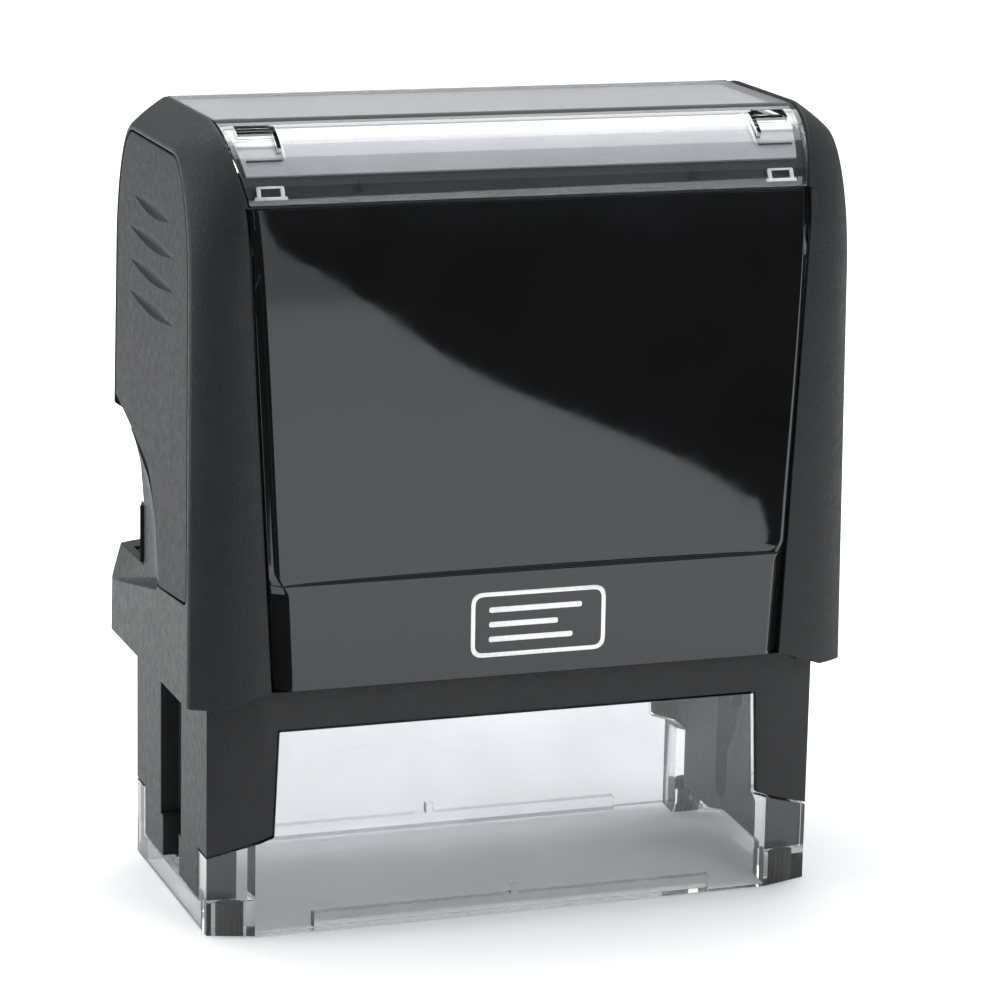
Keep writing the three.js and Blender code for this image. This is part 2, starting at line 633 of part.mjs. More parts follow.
function clearFoot() {
  const outline = beveledOutline(BASE_X, BASE_Y, BASE_BEVEL_X, BASE_BEVEL_Y);
  const legs = [
    [-BASE_X, 0], [BASE_X, 0], [BASE_X, LEG_BOTTOM_OUT - GAP], [WINDOW_BOTTOM_X - GAP, LEG_BOTTOM_IN - GAP],
    [WINDOW_TOP_X - GAP, WINDOW_TOP - GAP], [-WINDOW_TOP_X + GAP, WINDOW_TOP - GAP],
    [-WINDOW_BOTTOM_X + GAP, LEG_BOTTOM_IN - GAP], [-BASE_X, LEG_BOTTOM_OUT - GAP],
  ];
  const blank = prismZ(outline, FOOT_BOTTOM, WINDOW_TOP);
  const rail = common(blank, block([-BASE_X, BASE_X], [-BASE_Y, BASE_Y], [0, FRAME_SIDE_BOTTOM - GAP]));
  const front = common(blank, prismY(legs, -BASE_Y, -LEG_Y - GAP));
  const rear = common(blank, prismY(legs, LEG_Y + GAP, BASE_Y));
  const inside = join(
    block([-BASE_X + FOOT_INSET, BASE_X - FOOT_INSET], [-LEG_Y, LEG_Y], [-PAST, WINDOW_TOP]),
    block([-HOLDER_X - 0.4, HOLDER_X + 0.4], [-BASE_Y + 1.5, BASE_Y - 1.5], [-PAST, WINDOW_TOP + PAST]));
  const ledges = [-1, 1].map((side) => block([-FOOT_LEDGE_X, FOOT_LEDGE_X],
    onSide(side, FOOT_LEDGE_Y, BASE_Y - PAST), [FOOT_BOTTOM, FOOT_LEDGE_TOP]));
  const ticks = [-1, 1].map((side) => block([-TICK_X, TICK_X],
    onSide(side, FOOT_LEDGE_Y, BASE_Y - PAST), [FOOT_BOTTOM, TICK_TOP]));
  const sockets = footPlaces().map(([x, y]) => post(RUBBER_FOOT_R + GAP, x, y, -PAST, RUBBER_FOOT_TOP + GAP));
  return cut(join(cut(join(rail, front, rear), inside), ...ledges, ...ticks), ...sockets);
}

function footPlaces() {
  const [x, y] = RUBBER_FOOT_AT;
  return [[-x, -y], [x, -y], [-x, y], [x, y]];
}

// Knurled plug: a ribbed disc pulled up.
function rubberFoot([x, y]) {
  const RIBS = 10;
  const outline = [];
  for (let i = 0; i < RIBS * 4; i += 1) {
    const angle = (2 * Math.PI * i) / (RIBS * 4);
    const radius = i % 4 < 2 ? RUBBER_FOOT_R : RUBBER_FOOT_R - 0.2;
    outline.push([x + radius * Math.cos(angle), y + radius * Math.sin(angle)]);
  }
  return prismZ(outline, 0, RUBBER_FOOT_TOP);
}

// ---------------------------------------------------------------- ink cartridge

function inkTray() {
  const box = block([-TRAY_X, TRAY_X], [TRAY_FRONT, TRAY_REAR], [TRAY_BOTTOM, TRAY_TOP]);
  const pocket = block([-PAD_X - GAP, PAD_X + GAP], [-PAD_Y - GAP, PAD_Y + GAP],
    [TRAY_BOTTOM - PAST, PAD_TOP + GAP]);
  const rear = TRAY_REAR + TRAY_GRIP.reach;
  const grip = block([-TRAY_GRIP.x, TRAY_GRIP.x], [TRAY_REAR - PAST, rear], TRAY_GRIP.z);
  const fingerGroove = block([-TRAY_GROOVE.x, TRAY_GROOVE.x],
    [rear - TRAY_GROOVE.depth, rear + PAST], TRAY_GROOVE.z);
  return cut(join(box, grip), pocket, fingerGroove);
}

function inkPad() {
  return block([-PAD_X, PAD_X], [-PAD_Y, PAD_Y], [PAD_FACE, PAD_TOP]);
}

// ---------------------------------------------------------------- text plate

const aboveAxle = (span) => span.map((height) => AXIS_Z + height);

function plateHolder() {
  const plate = block([-HOLDER_X, HOLDER_X], [-HOLDER_Y, HOLDER_Y], aboveAxle(HOLDER_PLATE));
  const spine = block([-HOLDER_X, HOLDER_X], [-3.5, 3.5], [AXIS_Z - 3.5, AXIS_Z + 2]);
  const parts = [plate, spine];
  for (const side of [-1, 1]) {
    parts.push(
      block(onSide(side, 31, HOLDER_X), [-9, 9], [AXIS_Z - 6.5, AXIS_Z + 2]),
      rod(LUG_R, ...onSide(side, HOLDER_X - PAST, WELL_X + LUG_GROOVE_DEPTH - GAP),
        0, AXIS_Z - LUG_RADIUS, 16));
  }
  return cut(join(...parts), rod(AXLE_R + GAP, -HOLDER_X - PAST, HOLDER_X + PAST, 0, AXIS_Z));
}

function plateAxle() {
  return rod(AXLE_R, -ARM_OUT + 0.4, ARM_OUT - 0.4, 0, AXIS_Z);
}

function foamBacking() {
  return block([-PRINT_X, PRINT_X], [-PRINT_Y, PRINT_Y], aboveAxle(FOAM_LAYER));
}

// Rubber sheet with raised plain bars where a customer's lines would be.
function textPlate() {
  const sheet = block([-PRINT_X, PRINT_X], [-PRINT_Y, PRINT_Y], aboveAxle(RUBBER_SHEET));
  const relief = BARS.map(([y, halfX]) => block([-halfX, halfX], [y - BAR_HALF_HEIGHT, y + BAR_HALF_HEIGHT],
    aboveAxle([RUBBER_SHEET[0] + PAST / 2, FACE])));
  return join(sheet, ...relief);
}

// ---------------------------------------------------------------- assembly

const stamp = new THREE.Group();
stamp.name = 'self_inking_stamp';

function add(name, geometry, look) {
  const mesh = new THREE.Mesh(geometry, new THREE.MeshStandardMaterial(look));
  mesh.name = name;
  stamp.add(mesh);
}

add('base_frame', baseFrame(), BLACK_GRAIN);
add('clear_foot', clearFoot(), CLEAR);
['front_left', 'front_right', 'rear_left', 'rear_right'].forEach((corner, i) => {
  add(`rubber_foot_${corner}`, rubberFoot(footPlaces()[i]), RUBBER);
});
add('return_spring', returnSpring(), STEEL);

add('ink_tray', inkTray(), BLACK_INNER);
add('ink_pad', inkPad(), INKED_FOAM);

add('hood_shell', hoodShell(), BLACK_GRAIN);
add('front_panel', frontPanel(), BLACK_GLOSS);
add('rear_panel', rearPanel(), BLACK_GLOSS);
add('grip_insert_right', gripInsert(), BLACK_GRAIN);
add('grip_insert_left', mirrorX(gripInsert()), BLACK_GRAIN);
add('lock_button_right', lockButton(), BLACK_GRAIN);
add('lock_button_left', mirrorX(lockButton()), BLACK_GRAIN);
add('yoke', yoke(), BLACK_INNER);

add('index_cover', indexCover(), CLEAR);
add('index_card', indexCard(), CARD);

add('plate_holder', plateHolder(), BLACK_INNER);
add('plate_axle', plateAxle(), STEEL);
add('foam_backing', foamBacking(), FOAM);
add('text_plate', textPlate(), PRINT_RUBBER);

export default stamp;
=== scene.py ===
import json
import math

import bmesh
import bpy
from mathutils import Matrix, Vector

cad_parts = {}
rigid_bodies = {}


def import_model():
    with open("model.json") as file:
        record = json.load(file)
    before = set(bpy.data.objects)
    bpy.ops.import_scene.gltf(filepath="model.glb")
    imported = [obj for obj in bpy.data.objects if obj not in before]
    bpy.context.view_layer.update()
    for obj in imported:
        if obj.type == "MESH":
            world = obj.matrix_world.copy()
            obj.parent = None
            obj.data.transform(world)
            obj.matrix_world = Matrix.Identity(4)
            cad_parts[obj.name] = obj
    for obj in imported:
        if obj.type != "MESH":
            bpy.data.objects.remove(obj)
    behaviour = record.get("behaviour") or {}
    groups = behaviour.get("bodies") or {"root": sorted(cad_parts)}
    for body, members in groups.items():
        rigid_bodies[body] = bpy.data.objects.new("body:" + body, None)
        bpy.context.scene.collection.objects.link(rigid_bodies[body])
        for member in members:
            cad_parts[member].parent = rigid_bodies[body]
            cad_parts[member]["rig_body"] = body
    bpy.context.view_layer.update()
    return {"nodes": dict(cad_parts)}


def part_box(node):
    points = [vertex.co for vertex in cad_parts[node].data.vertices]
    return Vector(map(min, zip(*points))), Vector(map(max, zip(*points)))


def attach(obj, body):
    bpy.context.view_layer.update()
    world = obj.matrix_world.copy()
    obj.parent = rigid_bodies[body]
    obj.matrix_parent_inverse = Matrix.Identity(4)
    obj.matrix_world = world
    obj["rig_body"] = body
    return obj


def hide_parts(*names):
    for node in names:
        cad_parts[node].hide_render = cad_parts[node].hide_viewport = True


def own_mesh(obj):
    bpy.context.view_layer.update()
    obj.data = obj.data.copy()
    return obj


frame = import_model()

# Self-inking stamp. Shapes are drawn in millimetres in the CAD's frame and become metres when a
# piece is made. +Z is up, X runs along the long side, and the front looks towards -Y.

MM = 0.001

# ------------------------------------------------------------------ sizes shared by several pieces

HOOD_BOTTOM = 31.0
HOOD_TOP = 103.1
SIDE_X = 44.1          # half length at the hood's lower edge
DRAFT = 0.01           # the sides lean in by this much per millimetre
SIDE_SHOULDER = 82.0   # height where the side's edges start to curve in
SIDE_TOP = 99.6
FRONT_SHOULDER = 89.5  # height where the front starts to round over
FRONT_ARC_Y = 12.1
TOP_FLAT_Y = 9.2
ARC_POWER = 1.85
CAVITY_X = 41.4
CAVITY_Y = 19.8
CAVITY_SHOULDER = 88.0
CAVITY_TOP = 99.0
GAP = 0.3
PANEL_BACK_Y = 21.3
PANEL_FLOOR_Y = 21.0
PANEL_BOTTOM = 33.5
PANEL_TOP = 93.4
REAR_PANEL_BOTTOM = 62.0
BAND_TOP = 47.0
REAR_MOUTH = [(8, 42.4), (8, 50.5), (9.6, 55.5), (15.1, 61), (26, 61), (26, 42.4)]
SCOOP_INNER_X = 42.5   # floor of the finger scoops
INSERT_THICK = 0.8
INSERT_BOTTOM = 44.2
COVER_SKIN = 0.2
COVER_THICK = 1.3
COVER_REAR_Y = 11.8
COVER_LOW_ANGLE = 21     # where the cover ends on the front rounding, in degrees above level
CARD_THICK = 0.4
CARD_LOW_ANGLE = 39.5
BUTTON_X = (41.95, 42.95)
BUTTON_Y = (8.3, 10.8)
BUTTON_Z = (42.8, 50.3)


# ------------------------------------------------------------------ mesh helpers

def mesh_from(verts, faces):
    mesh = bpy.data.meshes.new("shape")
    mesh.from_pydata([tuple(v) for v in verts], [], faces)
    return settle(mesh)


def settle(mesh, weld=0.004, flat=0.4):
    """Welds doubles, merges coplanar facets when `flat` is set, and turns every normal outwards."""
    bm = bmesh.new()
    bm.from_mesh(mesh)
    bmesh.ops.remove_doubles(bm, verts=bm.verts, dist=weld)
    bmesh.ops.dissolve_degenerate(bm, dist=weld, edges=bm.edges)
    if flat:
        bmesh.ops.dissolve_limit(bm, angle_limit=math.radians(flat), verts=bm.verts, edges=bm.edges)
    bmesh.ops.recalc_face_normals(bm, faces=bm.faces)
    bm.to_mesh(mesh)
    bm.free()
    return mesh


def prism(outline, low, high, axis):
    """Outline pulled along an axis. It is (y, z) for X, (x, z) for Y and (x, y) for Z."""
    place = {
        "X": lambda u, v, w: (w, u, v),
        "Y": lambda u, v, w: (u, w, v),
        "Z": lambda u, v, w: (u, v, w),
    }[axis]
    count = len(outline)
    verts = [place(u, v, w) for w in (low, high) for u, v in outline]
    faces = [tuple(range(count)), tuple(range(count, 2 * count))]
    for i in range(count):
        j = (i + 1) % count
        faces.append((i, j, j + count, i + count))
    return mesh_from(verts, faces)


def block(x, y, z):
    return prism([(x[0], y[0]), (x[1], y[0]), (x[1], y[1]), (x[0], y[1])], z[0], z[1], "Z")


def hull(points):
    bm = bmesh.new()
    for p in points:
        bm.verts.new(p)
    bmesh.ops.convex_hull(bm, input=bm.verts)
    loose = [v for v in bm.verts if not v.link_faces]
    bmesh.ops.delete(bm, geom=loose, context="VERTS")
    mesh = bpy.data.meshes.new("hull")
    bm.to_mesh(mesh)
    bm.free()
    return settle(mesh)


def evaluated(mesh, add_modifiers):
    """The mesh after the modifiers that the given function puts on it."""
    body = bpy.data.objects.new("body", mesh)
    bpy.context.scene.collection.objects.link(body)
    add_modifiers(body)
    graph = bpy.context.evaluated_depsgraph_get()
    result = bpy.data.meshes.new_from_object(body.evaluated_get(graph), depsgraph=graph)
    bpy.data.objects.remove(body)
    result.materials.clear()
    return result


def combine(mesh, tools, operation="DIFFERENCE"):
    """Exact booleans of one mesh with several others. Each result is cleaned before the next cut."""
    for tool in tools:
        helper = bpy.data.objects.new("tool", tool)
        bpy.context.scene.collection.objects.link(helper)

        def cut(body):
            modifier = body.modifiers.new("cut", "BOOLEAN")
            modifier.operation = operation
            modifier.solver = "EXACT"
            modifier.object = helper

        mesh = settle(evaluated(mesh, cut), flat=0)
        bpy.data.objects.remove(helper)
    return mesh


def softened(mesh, width, angle=30, segments=4):
    """A mesh with its sharp edges rounded off."""
    def soften(body):
        edge = body.modifiers.new("edge", "BEVEL")
        edge.width = width
        edge.segments = segments
        edge.limit_method = "ANGLE"
        edge.angle_limit = math.radians(angle)

    return evaluated(mesh, soften)


def transformed(mesh, matrix):
    mesh = mesh.copy()
    mesh.transform(matrix)
    if matrix.determinant() < 0:
        mesh.flip_normals()
    return mesh


def mirrored(mesh):
    return transformed(mesh, Matrix.Scale(-1, 4, (1, 0, 0)))


def turned_round(mesh):
    return transformed(mesh, Matrix.Rotation(math.pi, 4, "Z"))


def lean_on_side(mesh):
    """Stands a piece that is drawn around x = 0 against the leaning right side of the hood."""
    lean = Matrix.Translation((SIDE_X, 0, HOOD_BOTTOM)) @ Matrix.Rotation(-DRAFT, 4, "Y")
    return transformed(mesh, lean @ Matrix.Translation((0, 0, -HOOD_BOTTOM)))


def from_cad(node):
    """A CAD node's own shape in millimetres, with its facets merged."""
    mesh = frame["nodes"][node].data.copy()
    mesh.transform(Matrix.Scale(1 / MM, 4))
    bare = bpy.data.meshes.new("bare")
    bare.from_pydata([v.co[:] for v in mesh.vertices], [], [p.vertices[:] for p in mesh.polygons])
    return settle(bare, weld=0.01, flat=1.0)


def lerp(a, b, t):
    return a + (b - a) * t


def bezier(points, t):
    points = [Vector(p) for p in points]
    while len(points) > 1:
        points = [a.lerp(b, t) for a, b in zip(points, points[1:])]
    return points[0]


def rounded(corners, radius, steps=5):
    """A closed outline with each corner rounded. radius is one number, or one for each corner."""
    count = len(corners)
    radii = [radius] * count if isinstance(radius, (int, float)) else radius
    outline = []
    for i, corner in enumerate(corners):
        here = Vector(corner)
        before = Vector(corners[i - 1]) - here
        after = Vector(corners[(i + 1) % count]) - here
        if radii[i] <= 0:
            outline.append(corner)
            continue
        half = before.angle(after) / 2
        reach = min(radii[i] / math.tan(half), before.length * 0.49, after.length * 0.49)
        start = here + before.normalized() * reach
        end = here + after.normalized() * reach
        for k in range(steps + 1):
            outline.append(tuple(bezier([start, here, end], k / steps)))
    return outline


def on_side(side, near, far):
    return (near, far) if side > 0 else (-far, -near)


# ------------------------------------------------------------------ materials

def new_material(name):
    material = bpy.data.materials.new(name)
    material.use_nodes = True
    nodes = material.node_tree.nodes
    nodes.clear()
    shader = nodes.new("ShaderNodeBsdfPrincipled")
    output = nodes.new("ShaderNodeOutputMaterial")
    material.node_tree.links.new(shader.outputs[0], output.inputs["Surface"])
    return material, material.node_tree, shader, output


def noise(tree, scale, detail=3.0, roughness=0.55, stretch=None):
    """Noise over the object's own coordinates, as a value around 0.5."""
    coords = tree.nodes.new("ShaderNodeTexCoord")
    source = coords.outputs["Object"]
    if stretch:
        mapping = tree.nodes.new("ShaderNodeMapping")
        mapping.inputs["Scale"].default_value = stretch
        tree.links.new(source, mapping.inputs["Vector"])
        source = mapping.outputs[0]
    texture = tree.nodes.new("ShaderNodeTexNoise")
    texture.inputs["Scale"].default_value = scale
    texture.inputs["Detail"].default_value = detail
    texture.inputs["Roughness"].default_value = roughness
    tree.links.new(source, texture.inputs["Vector"])
    return texture.outputs["Fac"]


def spread(tree, value, low, high, start=0.3, end=0.7):
    """Maps a noise value to a range."""
    node = tree.nodes.new("ShaderNodeMapRange")
    node.inputs["From Min"].default_value = start
    node.inputs["From Max"].default_value = end
    node.inputs["To Min"].default_value = low
    node.inputs["To Max"].default_value = high
    tree.links.new(value, node.inputs["Value"])
    return node.outputs[0]


def shade_mix(tree, value, dark, light, start=0.3, end=0.7):
    """A colour that wanders between two tones with a noise value."""
    ramp = tree.nodes.new("ShaderNodeValToRGB")
    ramp.color_ramp.elements[0].position = start
    ramp.color_ramp.elements[1].position = end
    ramp.color_ramp.elements[0].color = (*dark, 1)
    ramp.color_ramp.elements[1].color = (*light, 1)
    tree.links.new(value, ramp.inputs[0])
    return ramp.outputs[0]


def add_bump(tree, shader, value, strength, distance_mm):
    bump = tree.nodes.new("ShaderNodeBump")
    bump.inputs["Strength"].default_value = strength
    bump.inputs["Distance"].default_value = distance_mm * MM
    tree.links.new(value, bump.inputs["Height"])
    if shader.inputs["Normal"].links:
        tree.links.new(shader.inputs["Normal"].links[0].from_socket, bump.inputs["Normal"])
    tree.links.new(bump.outputs[0], shader.inputs["Normal"])


def moulded_black(name, dark, light, rough, grain, grain_depth, shine=0.5, edge_mm=0.0):
    """Eroded black plastic: fine grain, with its tone and gloss wandering a little."""
    material, tree, shader, _ = new_material(name)
    tone = noise(tree, 180, 4)
    tree.links.new(shade_mix(tree, tone, dark, light), shader.inputs["Base Color"])
    gloss = spread(tree, noise(tree, 900, 3), rough - 0.05, rough + 0.05)
    tree.links.new(gloss, shader.inputs["Roughness"])
    shader.inputs["IOR"].default_value = 1.5
    shader.inputs["Specular IOR Level"].default_value = shine
    if edge_mm:
        edge = tree.nodes.new("ShaderNodeBevel")
        edge.samples = 6
        edge.inputs["Radius"].default_value = edge_mm * MM
        tree.links.new(edge.outputs[0], shader.inputs["Normal"])
    add_bump(tree, shader, noise(tree, grain, 2, 0.5), 0.8, grain_depth)
    return material


def gloss_black():
    """Polished black panel with the faint unevenness of a moulding."""
    material, tree, shader, _ = new_material("black_gloss")
    tone = noise(tree, 60, 2)
    colour = shade_mix(tree, tone, (0.0045,) * 3, (0.0065, 0.0065, 0.007))
    tree.links.new(colour, shader.inputs["Base Color"])
    tree.links.new(spread(tree, noise(tree, 300, 4), 0.035, 0.06), shader.inputs["Roughness"])
    shader.inputs["IOR"].default_value = 1.56
    # The bluish specular tint is a painted reflection colour: it cools every reflection on the panel.
    shader.inputs["Specular Tint"].default_value = (0.9, 0.95, 1.0, 1)
    add_bump(tree, shader, noise(tree, 45, 1, 0.4), 0.3, 0.01)
    return material


def clear_plastic():
    """Faintly smoky clear plastic. Lamps shine through it, so it casts only a light shadow."""
    material, tree, shader, output = new_material("clear_plastic")
    tone = noise(tree, 70, 2)
    colour = shade_mix(tree, tone, (0.74, 0.745, 0.76), (0.79, 0.795, 0.81))
    tree.links.new(colour, shader.inputs["Base Color"])
    tree.links.new(spread(tree, noise(tree, 400, 3), 0.01, 0.035), shader.inputs["Roughness"])
    shader.inputs["Transmission Weight"].default_value = 1.0
    shader.inputs["IOR"].default_value = 1.49
    add_bump(tree, shader, noise(tree, 90, 1, 0.4), 0.15, 0.02)
    through = tree.nodes.new("ShaderNodeBsdfTransparent")
    through.inputs[0].default_value = (0.72, 0.73, 0.745, 1)
    path = tree.nodes.new("ShaderNodeLightPath")
    mix = tree.nodes.new("ShaderNodeMixShader")
    tree.links.new(path.outputs["Is Shadow Ray"], mix.inputs[0])
    tree.links.new(shader.outputs[0], mix.inputs[1])
    tree.links.new(through.outputs[0], mix.inputs[2])
    tree.links.new(mix.outputs[0], output.inputs["Surface"])
    return material


def card_stock():
    material, tree, shader, _ = new_material("card")
    fibres = noise(tree, 900, 5, 0.6, (1, 3, 1))
    colour = shade_mix(tree, fibres, (0.37, 0.375, 0.385), (0.415, 0.42, 0.43))
    tree.links.new(colour, shader.inputs["Base Color"])
    tree.links.new(spread(tree, fibres, 0.5, 0.62), shader.inputs["Roughness"])
    add_bump(tree, shader, fibres, 0.2, 0.02)
    return material


def steel():
    material, tree, shader, _ = new_material("steel")
    drawn = noise(tree, 700, 3, 0.6, (1, 1, 6))
    colour = shade_mix(tree, drawn, (0.50, 0.50, 0.51), (0.64, 0.64, 0.65))
    tree.links.new(colour, shader.inputs["Base Color"])
    tree.links.new(spread(tree, drawn, 0.22, 0.36), shader.inputs["Roughness"])
    shader.inputs["Metallic"].default_value = 1.0
    add_bump(tree, shader, drawn, 0.2, 0.01)
    return material


def rubber(name, dark, light, grain):
    material, tree, shader, _ = new_material(name)
    mottle = noise(tree, grain, 4)
    tree.links.new(shade_mix(tree, mottle, dark, light), shader.inputs["Base Color"])
    tree.links.new(spread(tree, mottle, 0.62, 0.8), shader.inputs["Roughness"])
    add_bump(tree, shader, mottle, 0.4, 0.03)
    return material


def foam(name, dark, light):
    """Open-celled foam: the cells show as small pits, painted darker for the shade inside them."""
    material, tree, shader, _ = new_material(name)
    coords = tree.nodes.new("ShaderNodeTexCoord")
    cells = tree.nodes.new("ShaderNodeTexVoronoi")
    cells.inputs["Scale"].default_value = 2400
    tree.links.new(coords.outputs["Object"], cells.inputs["Vector"])
    pits = cells.outputs["Distance"]
    tree.links.new(shade_mix(tree, pits, dark, light, 0.1, 0.6), shader.inputs["Base Color"])
    tree.links.new(spread(tree, pits, 0.95, 0.8), shader.inputs["Roughness"])
    add_bump(tree, shader, pits, 0.7, 0.12)
    return material


# White for the printed mark on the band, and for the painted highlights on the cover's end details.
def print_and_highlight_white():
    material, tree, shader, _ = new_material("print_and_highlight_white")
    ink_and_sheen = noise(tree, 1500, 3)
    colour = shade_mix(tree, ink_and_sheen, (0.80, 0.80, 0.81), (0.90, 0.90, 0.91))
    tree.links.new(colour, shader.inputs["Base Color"])
    tree.links.new(spread(tree, ink_and_sheen, 0.25, 0.4), shader.inputs["Roughness"])
    return material


LOOKS = {
    "black_grain": moulded_black("black_grain", (0.0105, 0.011, 0.012), (0.013, 0.0135, 0.0145),
                                 0.5, 2600, 0.08, 0.32, 0.3),
    "black_soft": moulded_black("black_soft", (0.0115, 0.012, 0.013), (0.0135, 0.014, 0.0152),
                                0.55, 2600, 0.1, 0.18, 0.2),
    "black_inner": moulded_black("black_inner", (0.009, 0.009, 0.0095), (0.013, 0.013, 0.014),
                                 0.42, 5000, 0.015),
    "black_gloss": gloss_black(),
    "clear_plastic": clear_plastic(),
    "card": card_stock(),
    "steel": steel(),
    "foot_rubber": rubber("foot_rubber", (0.008,) * 3, (0.016,) * 3, 1200),
    "print_rubber": rubber("print_rubber", (0.20, 0.045, 0.036), (0.27, 0.065, 0.05), 1600),
    "foam": foam("foam", (0.16, 0.165, 0.175), (0.30, 0.305, 0.315)),
    "inked_foam": foam("inked_foam", (0.004, 0.004, 0.006), (0.012, 0.012, 0.018)),
    "print_and_highlight_white": print_and_highlight_white(),
}


# ------------------------------------------------------------------ pieces

def add_piece(name, mesh, look, replaces=(), body=None, slot=None, bevel=0.25, angle=30, segments=3,
              weighted=False, sharp=None):
    """Makes a piece from a mesh in millimetres and ties it to its CAD body. Its edges are rounded by
    `bevel`. An angle in `sharp` keeps steeper edges crisp."""
    mesh = mesh.copy()
    mesh.transform(Matrix.Scale(MM, 4))
    for polygon in mesh.polygons:
        polygon.use_smooth = True
    if sharp:
        mesh.set_sharp_from_angle(angle=math.radians(sharp))
    mesh.materials.append(LOOKS[look])
    piece = bpy.data.objects.new(name, mesh)
    bpy.context.scene.collection.objects.link(piece)
    if bevel:
        edge = piece.modifiers.new("rounded_edges", "BEVEL")
        edge.width = bevel * MM
        edge.segments = segments
        edge.limit_method = "ANGLE"
        edge.angle_limit = math.radians(angle)
        edge.harden_normals = not weighted
    if weighted:
        normals = piece.modifiers.new("weighted_normals", "WEIGHTED_NORMAL")
        normals.weight = 50
        normals.keep_sharp = bool(sharp)
    home = body or frame["nodes"][replaces[0]]["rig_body"]
    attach(piece, home)
    if replaces:
        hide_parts(*replaces)
    if slot is None:
        slot = look
    return piece


# ------------------------------------------------------------------ hood surfaces

def side_x(z):
    return SIDE_X - DRAFT * (z - HOOD_BOTTOM)


def side_y(z):
    """Half width of the flat side, up to its shoulder."""
    return 19.4 - 0.022 * (z - HOOD_BOTTOM)


def edge_x(z):
    """Half length of the cheeks' inner edges, beside panels and cover."""
    return 34.1 + 0.05 * (z - 33) + (0.15 * (z - 93) if z > 93 else 0)


def cheek_y(z):
    return 22.6 - 0.0227 * (z - 33)


def front_arc(inset, angle):
    """Point (y, z) of the rounding over the front edge, `inset` below the outer skin."""
    a = math.radians(angle)
    y = TOP_FLAT_Y + (FRONT_ARC_Y - inset) * math.cos(a) ** (2 / ARC_POWER)
    z = FRONT_SHOULDER + (HOOD_TOP - FRONT_SHOULDER - inset) * math.sin(a) ** (2 / ARC_POWER)
    return y, z


def resample(points, count):
    """The same polyline as `count` + 1 points at equal spacing."""
    lengths = [0.0]
    for a, b in zip(points, points[1:]):
        lengths.append(lengths[-1] + (Vector(b) - Vector(a)).length)
    found, k = [], 0
    for i in range(count + 1):
        at = lengths[-1] * i / count
        while k < len(points) - 2 and lengths[k + 1] < at:
            k += 1
        t = (at - lengths[k]) / max(lengths[k + 1] - lengths[k], 1e-9)
        found.append(Vector(points[k]).lerp(Vector(points[k + 1]), t))
    return found


def hood_rails():
    """For the front right quarter, from the lower edge to the top: the side's edge, the side's
    inward direction there, and the cheek's inner edge."""
    rails = []
    for i in range(13):
        z = lerp(HOOD_BOTTOM, SIDE_SHOULDER, i / 12)
        rails.append(((side_y(z), z), (-1.0, 0.0), (cheek_y(z), z)))
    steps = 24
    ellipse = []
    for i in range(161):
        a = math.radians(90 * i / 160)
        ellipse.append((10 + 8.28 * math.cos(a),
                        SIDE_SHOULDER + (SIDE_TOP - SIDE_SHOULDER) * math.sin(a)))
    inner = [(cheek_y(SIDE_SHOULDER), SIDE_SHOULDER)]
    inner += [front_arc(0, 90 * i / 160) for i in range(161)]
    outer = resample(ellipse, steps)
    inner = resample(inner, steps)
    for i in range(1, steps + 1):
        before = outer[i - 1]
        after = outer[min(i + 1, steps)] if i < steps else Vector((outer[i].x - 1, outer[i].y))
        along = (after - before).normalized()
        rails.append((tuple(outer[i]), (-along.y, along.x), tuple(inner[i])))
    return rails


def hood_row(rail, share):
    """Points (x, y, z) across the right half of one row, from the flat side to the middle."""
    (ya, za), (ny, nz), (yc, zc) = rail
    side_round = 0.45
    bulge = lerp(1.6, 0.25, share)
    corner = Vector((side_x(za), ya, za))
    inner = Vector((edge_x(zc), yc, zc))
    across = inner - corner
    outward = Vector((0, -ny, -nz))
    outward = (outward - across * outward.dot(across) / across.length_squared).normalized()
    control = corner + across * 0.42 + outward * bulge
    inward = Vector((DRAFT * -nz, ny, nz)).normalized()
    start = corner + inward * side_round
    end = corner + (control - corner).normalized() * side_round
    row = [bezier([start, corner, end], k / 5) for k in range(6)]
    first = side_round / (control - corner).length / 2
    last = 1 if zc > PANEL_TOP + GAP else 1 - 0.8 / across.length
    for k in range(1, 9):
        row.append(bezier([corner, control, inner], lerp(first, last, k / 8)))
    row.append(bezier([corner, control, inner], 1.0) - Vector((3.0, 0, 0)))
    return row


def hood_skin():
    """The hood's outer skin as one closed mesh: rows that run up the front, over the top and down
    the rear, each from the left side to the right."""
    rails = hood_rails()
    count = len(rails)
    rows = []
    for i, rail in enumerate(rails):
        share = max(0.0, (i - 12) / (count - 13))
        half = [(x, -y, z) for x, y, z in hood_row(rail, share)]
        rows.append([(-x, y, z) for x, y, z in half] + half[::-1])
    rear = [[(x, -y, z) for x, y, z in row] for row in reversed(rows)]
    rows += rear
    width = len(rows[0])
    verts = [p for row in rows for p in row]
    faces = []
    for r in range(len(rows) - 1):
        for c in range(width - 1):
            a = r * width + c
            faces.append((a, a + 1, a + width + 1, a + width))
    faces.append(tuple(r * width for r in range(len(rows))))
    faces.append(tuple(r * width + width - 1 for r in reversed(range(len(rows)))))
    last = (len(rows) - 1) * width
    faces.append(tuple(range(width)) + tuple(last + c for c in reversed(range(width))))
    return mesh_from(verts, faces)


def beveled_outline(half_x, half_y, bevel_x, bevel_y):
    x, y = half_x - bevel_x, half_y - bevel_y
    return [(half_x, -y), (half_x, y), (x, half_y), (-x, half_y),
            (-half_x, y), (-half_x, -y), (-x, -half_y), (x, -half_y)]


def hood_cavity():
    lower = beveled_outline(CAVITY_X, CAVITY_Y, 6.4, 2.2)
    crown = [(x, y, CAVITY_SHOULDER) for x, y in lower]
    crown += [(x, y, CAVITY_TOP) for x in (-41.2, 41.2) for y in (-7.6, 7.6)]
    crown += [(x, y, HOOD_BOTTOM - 1) for x, y in lower]
    return hull(crown)


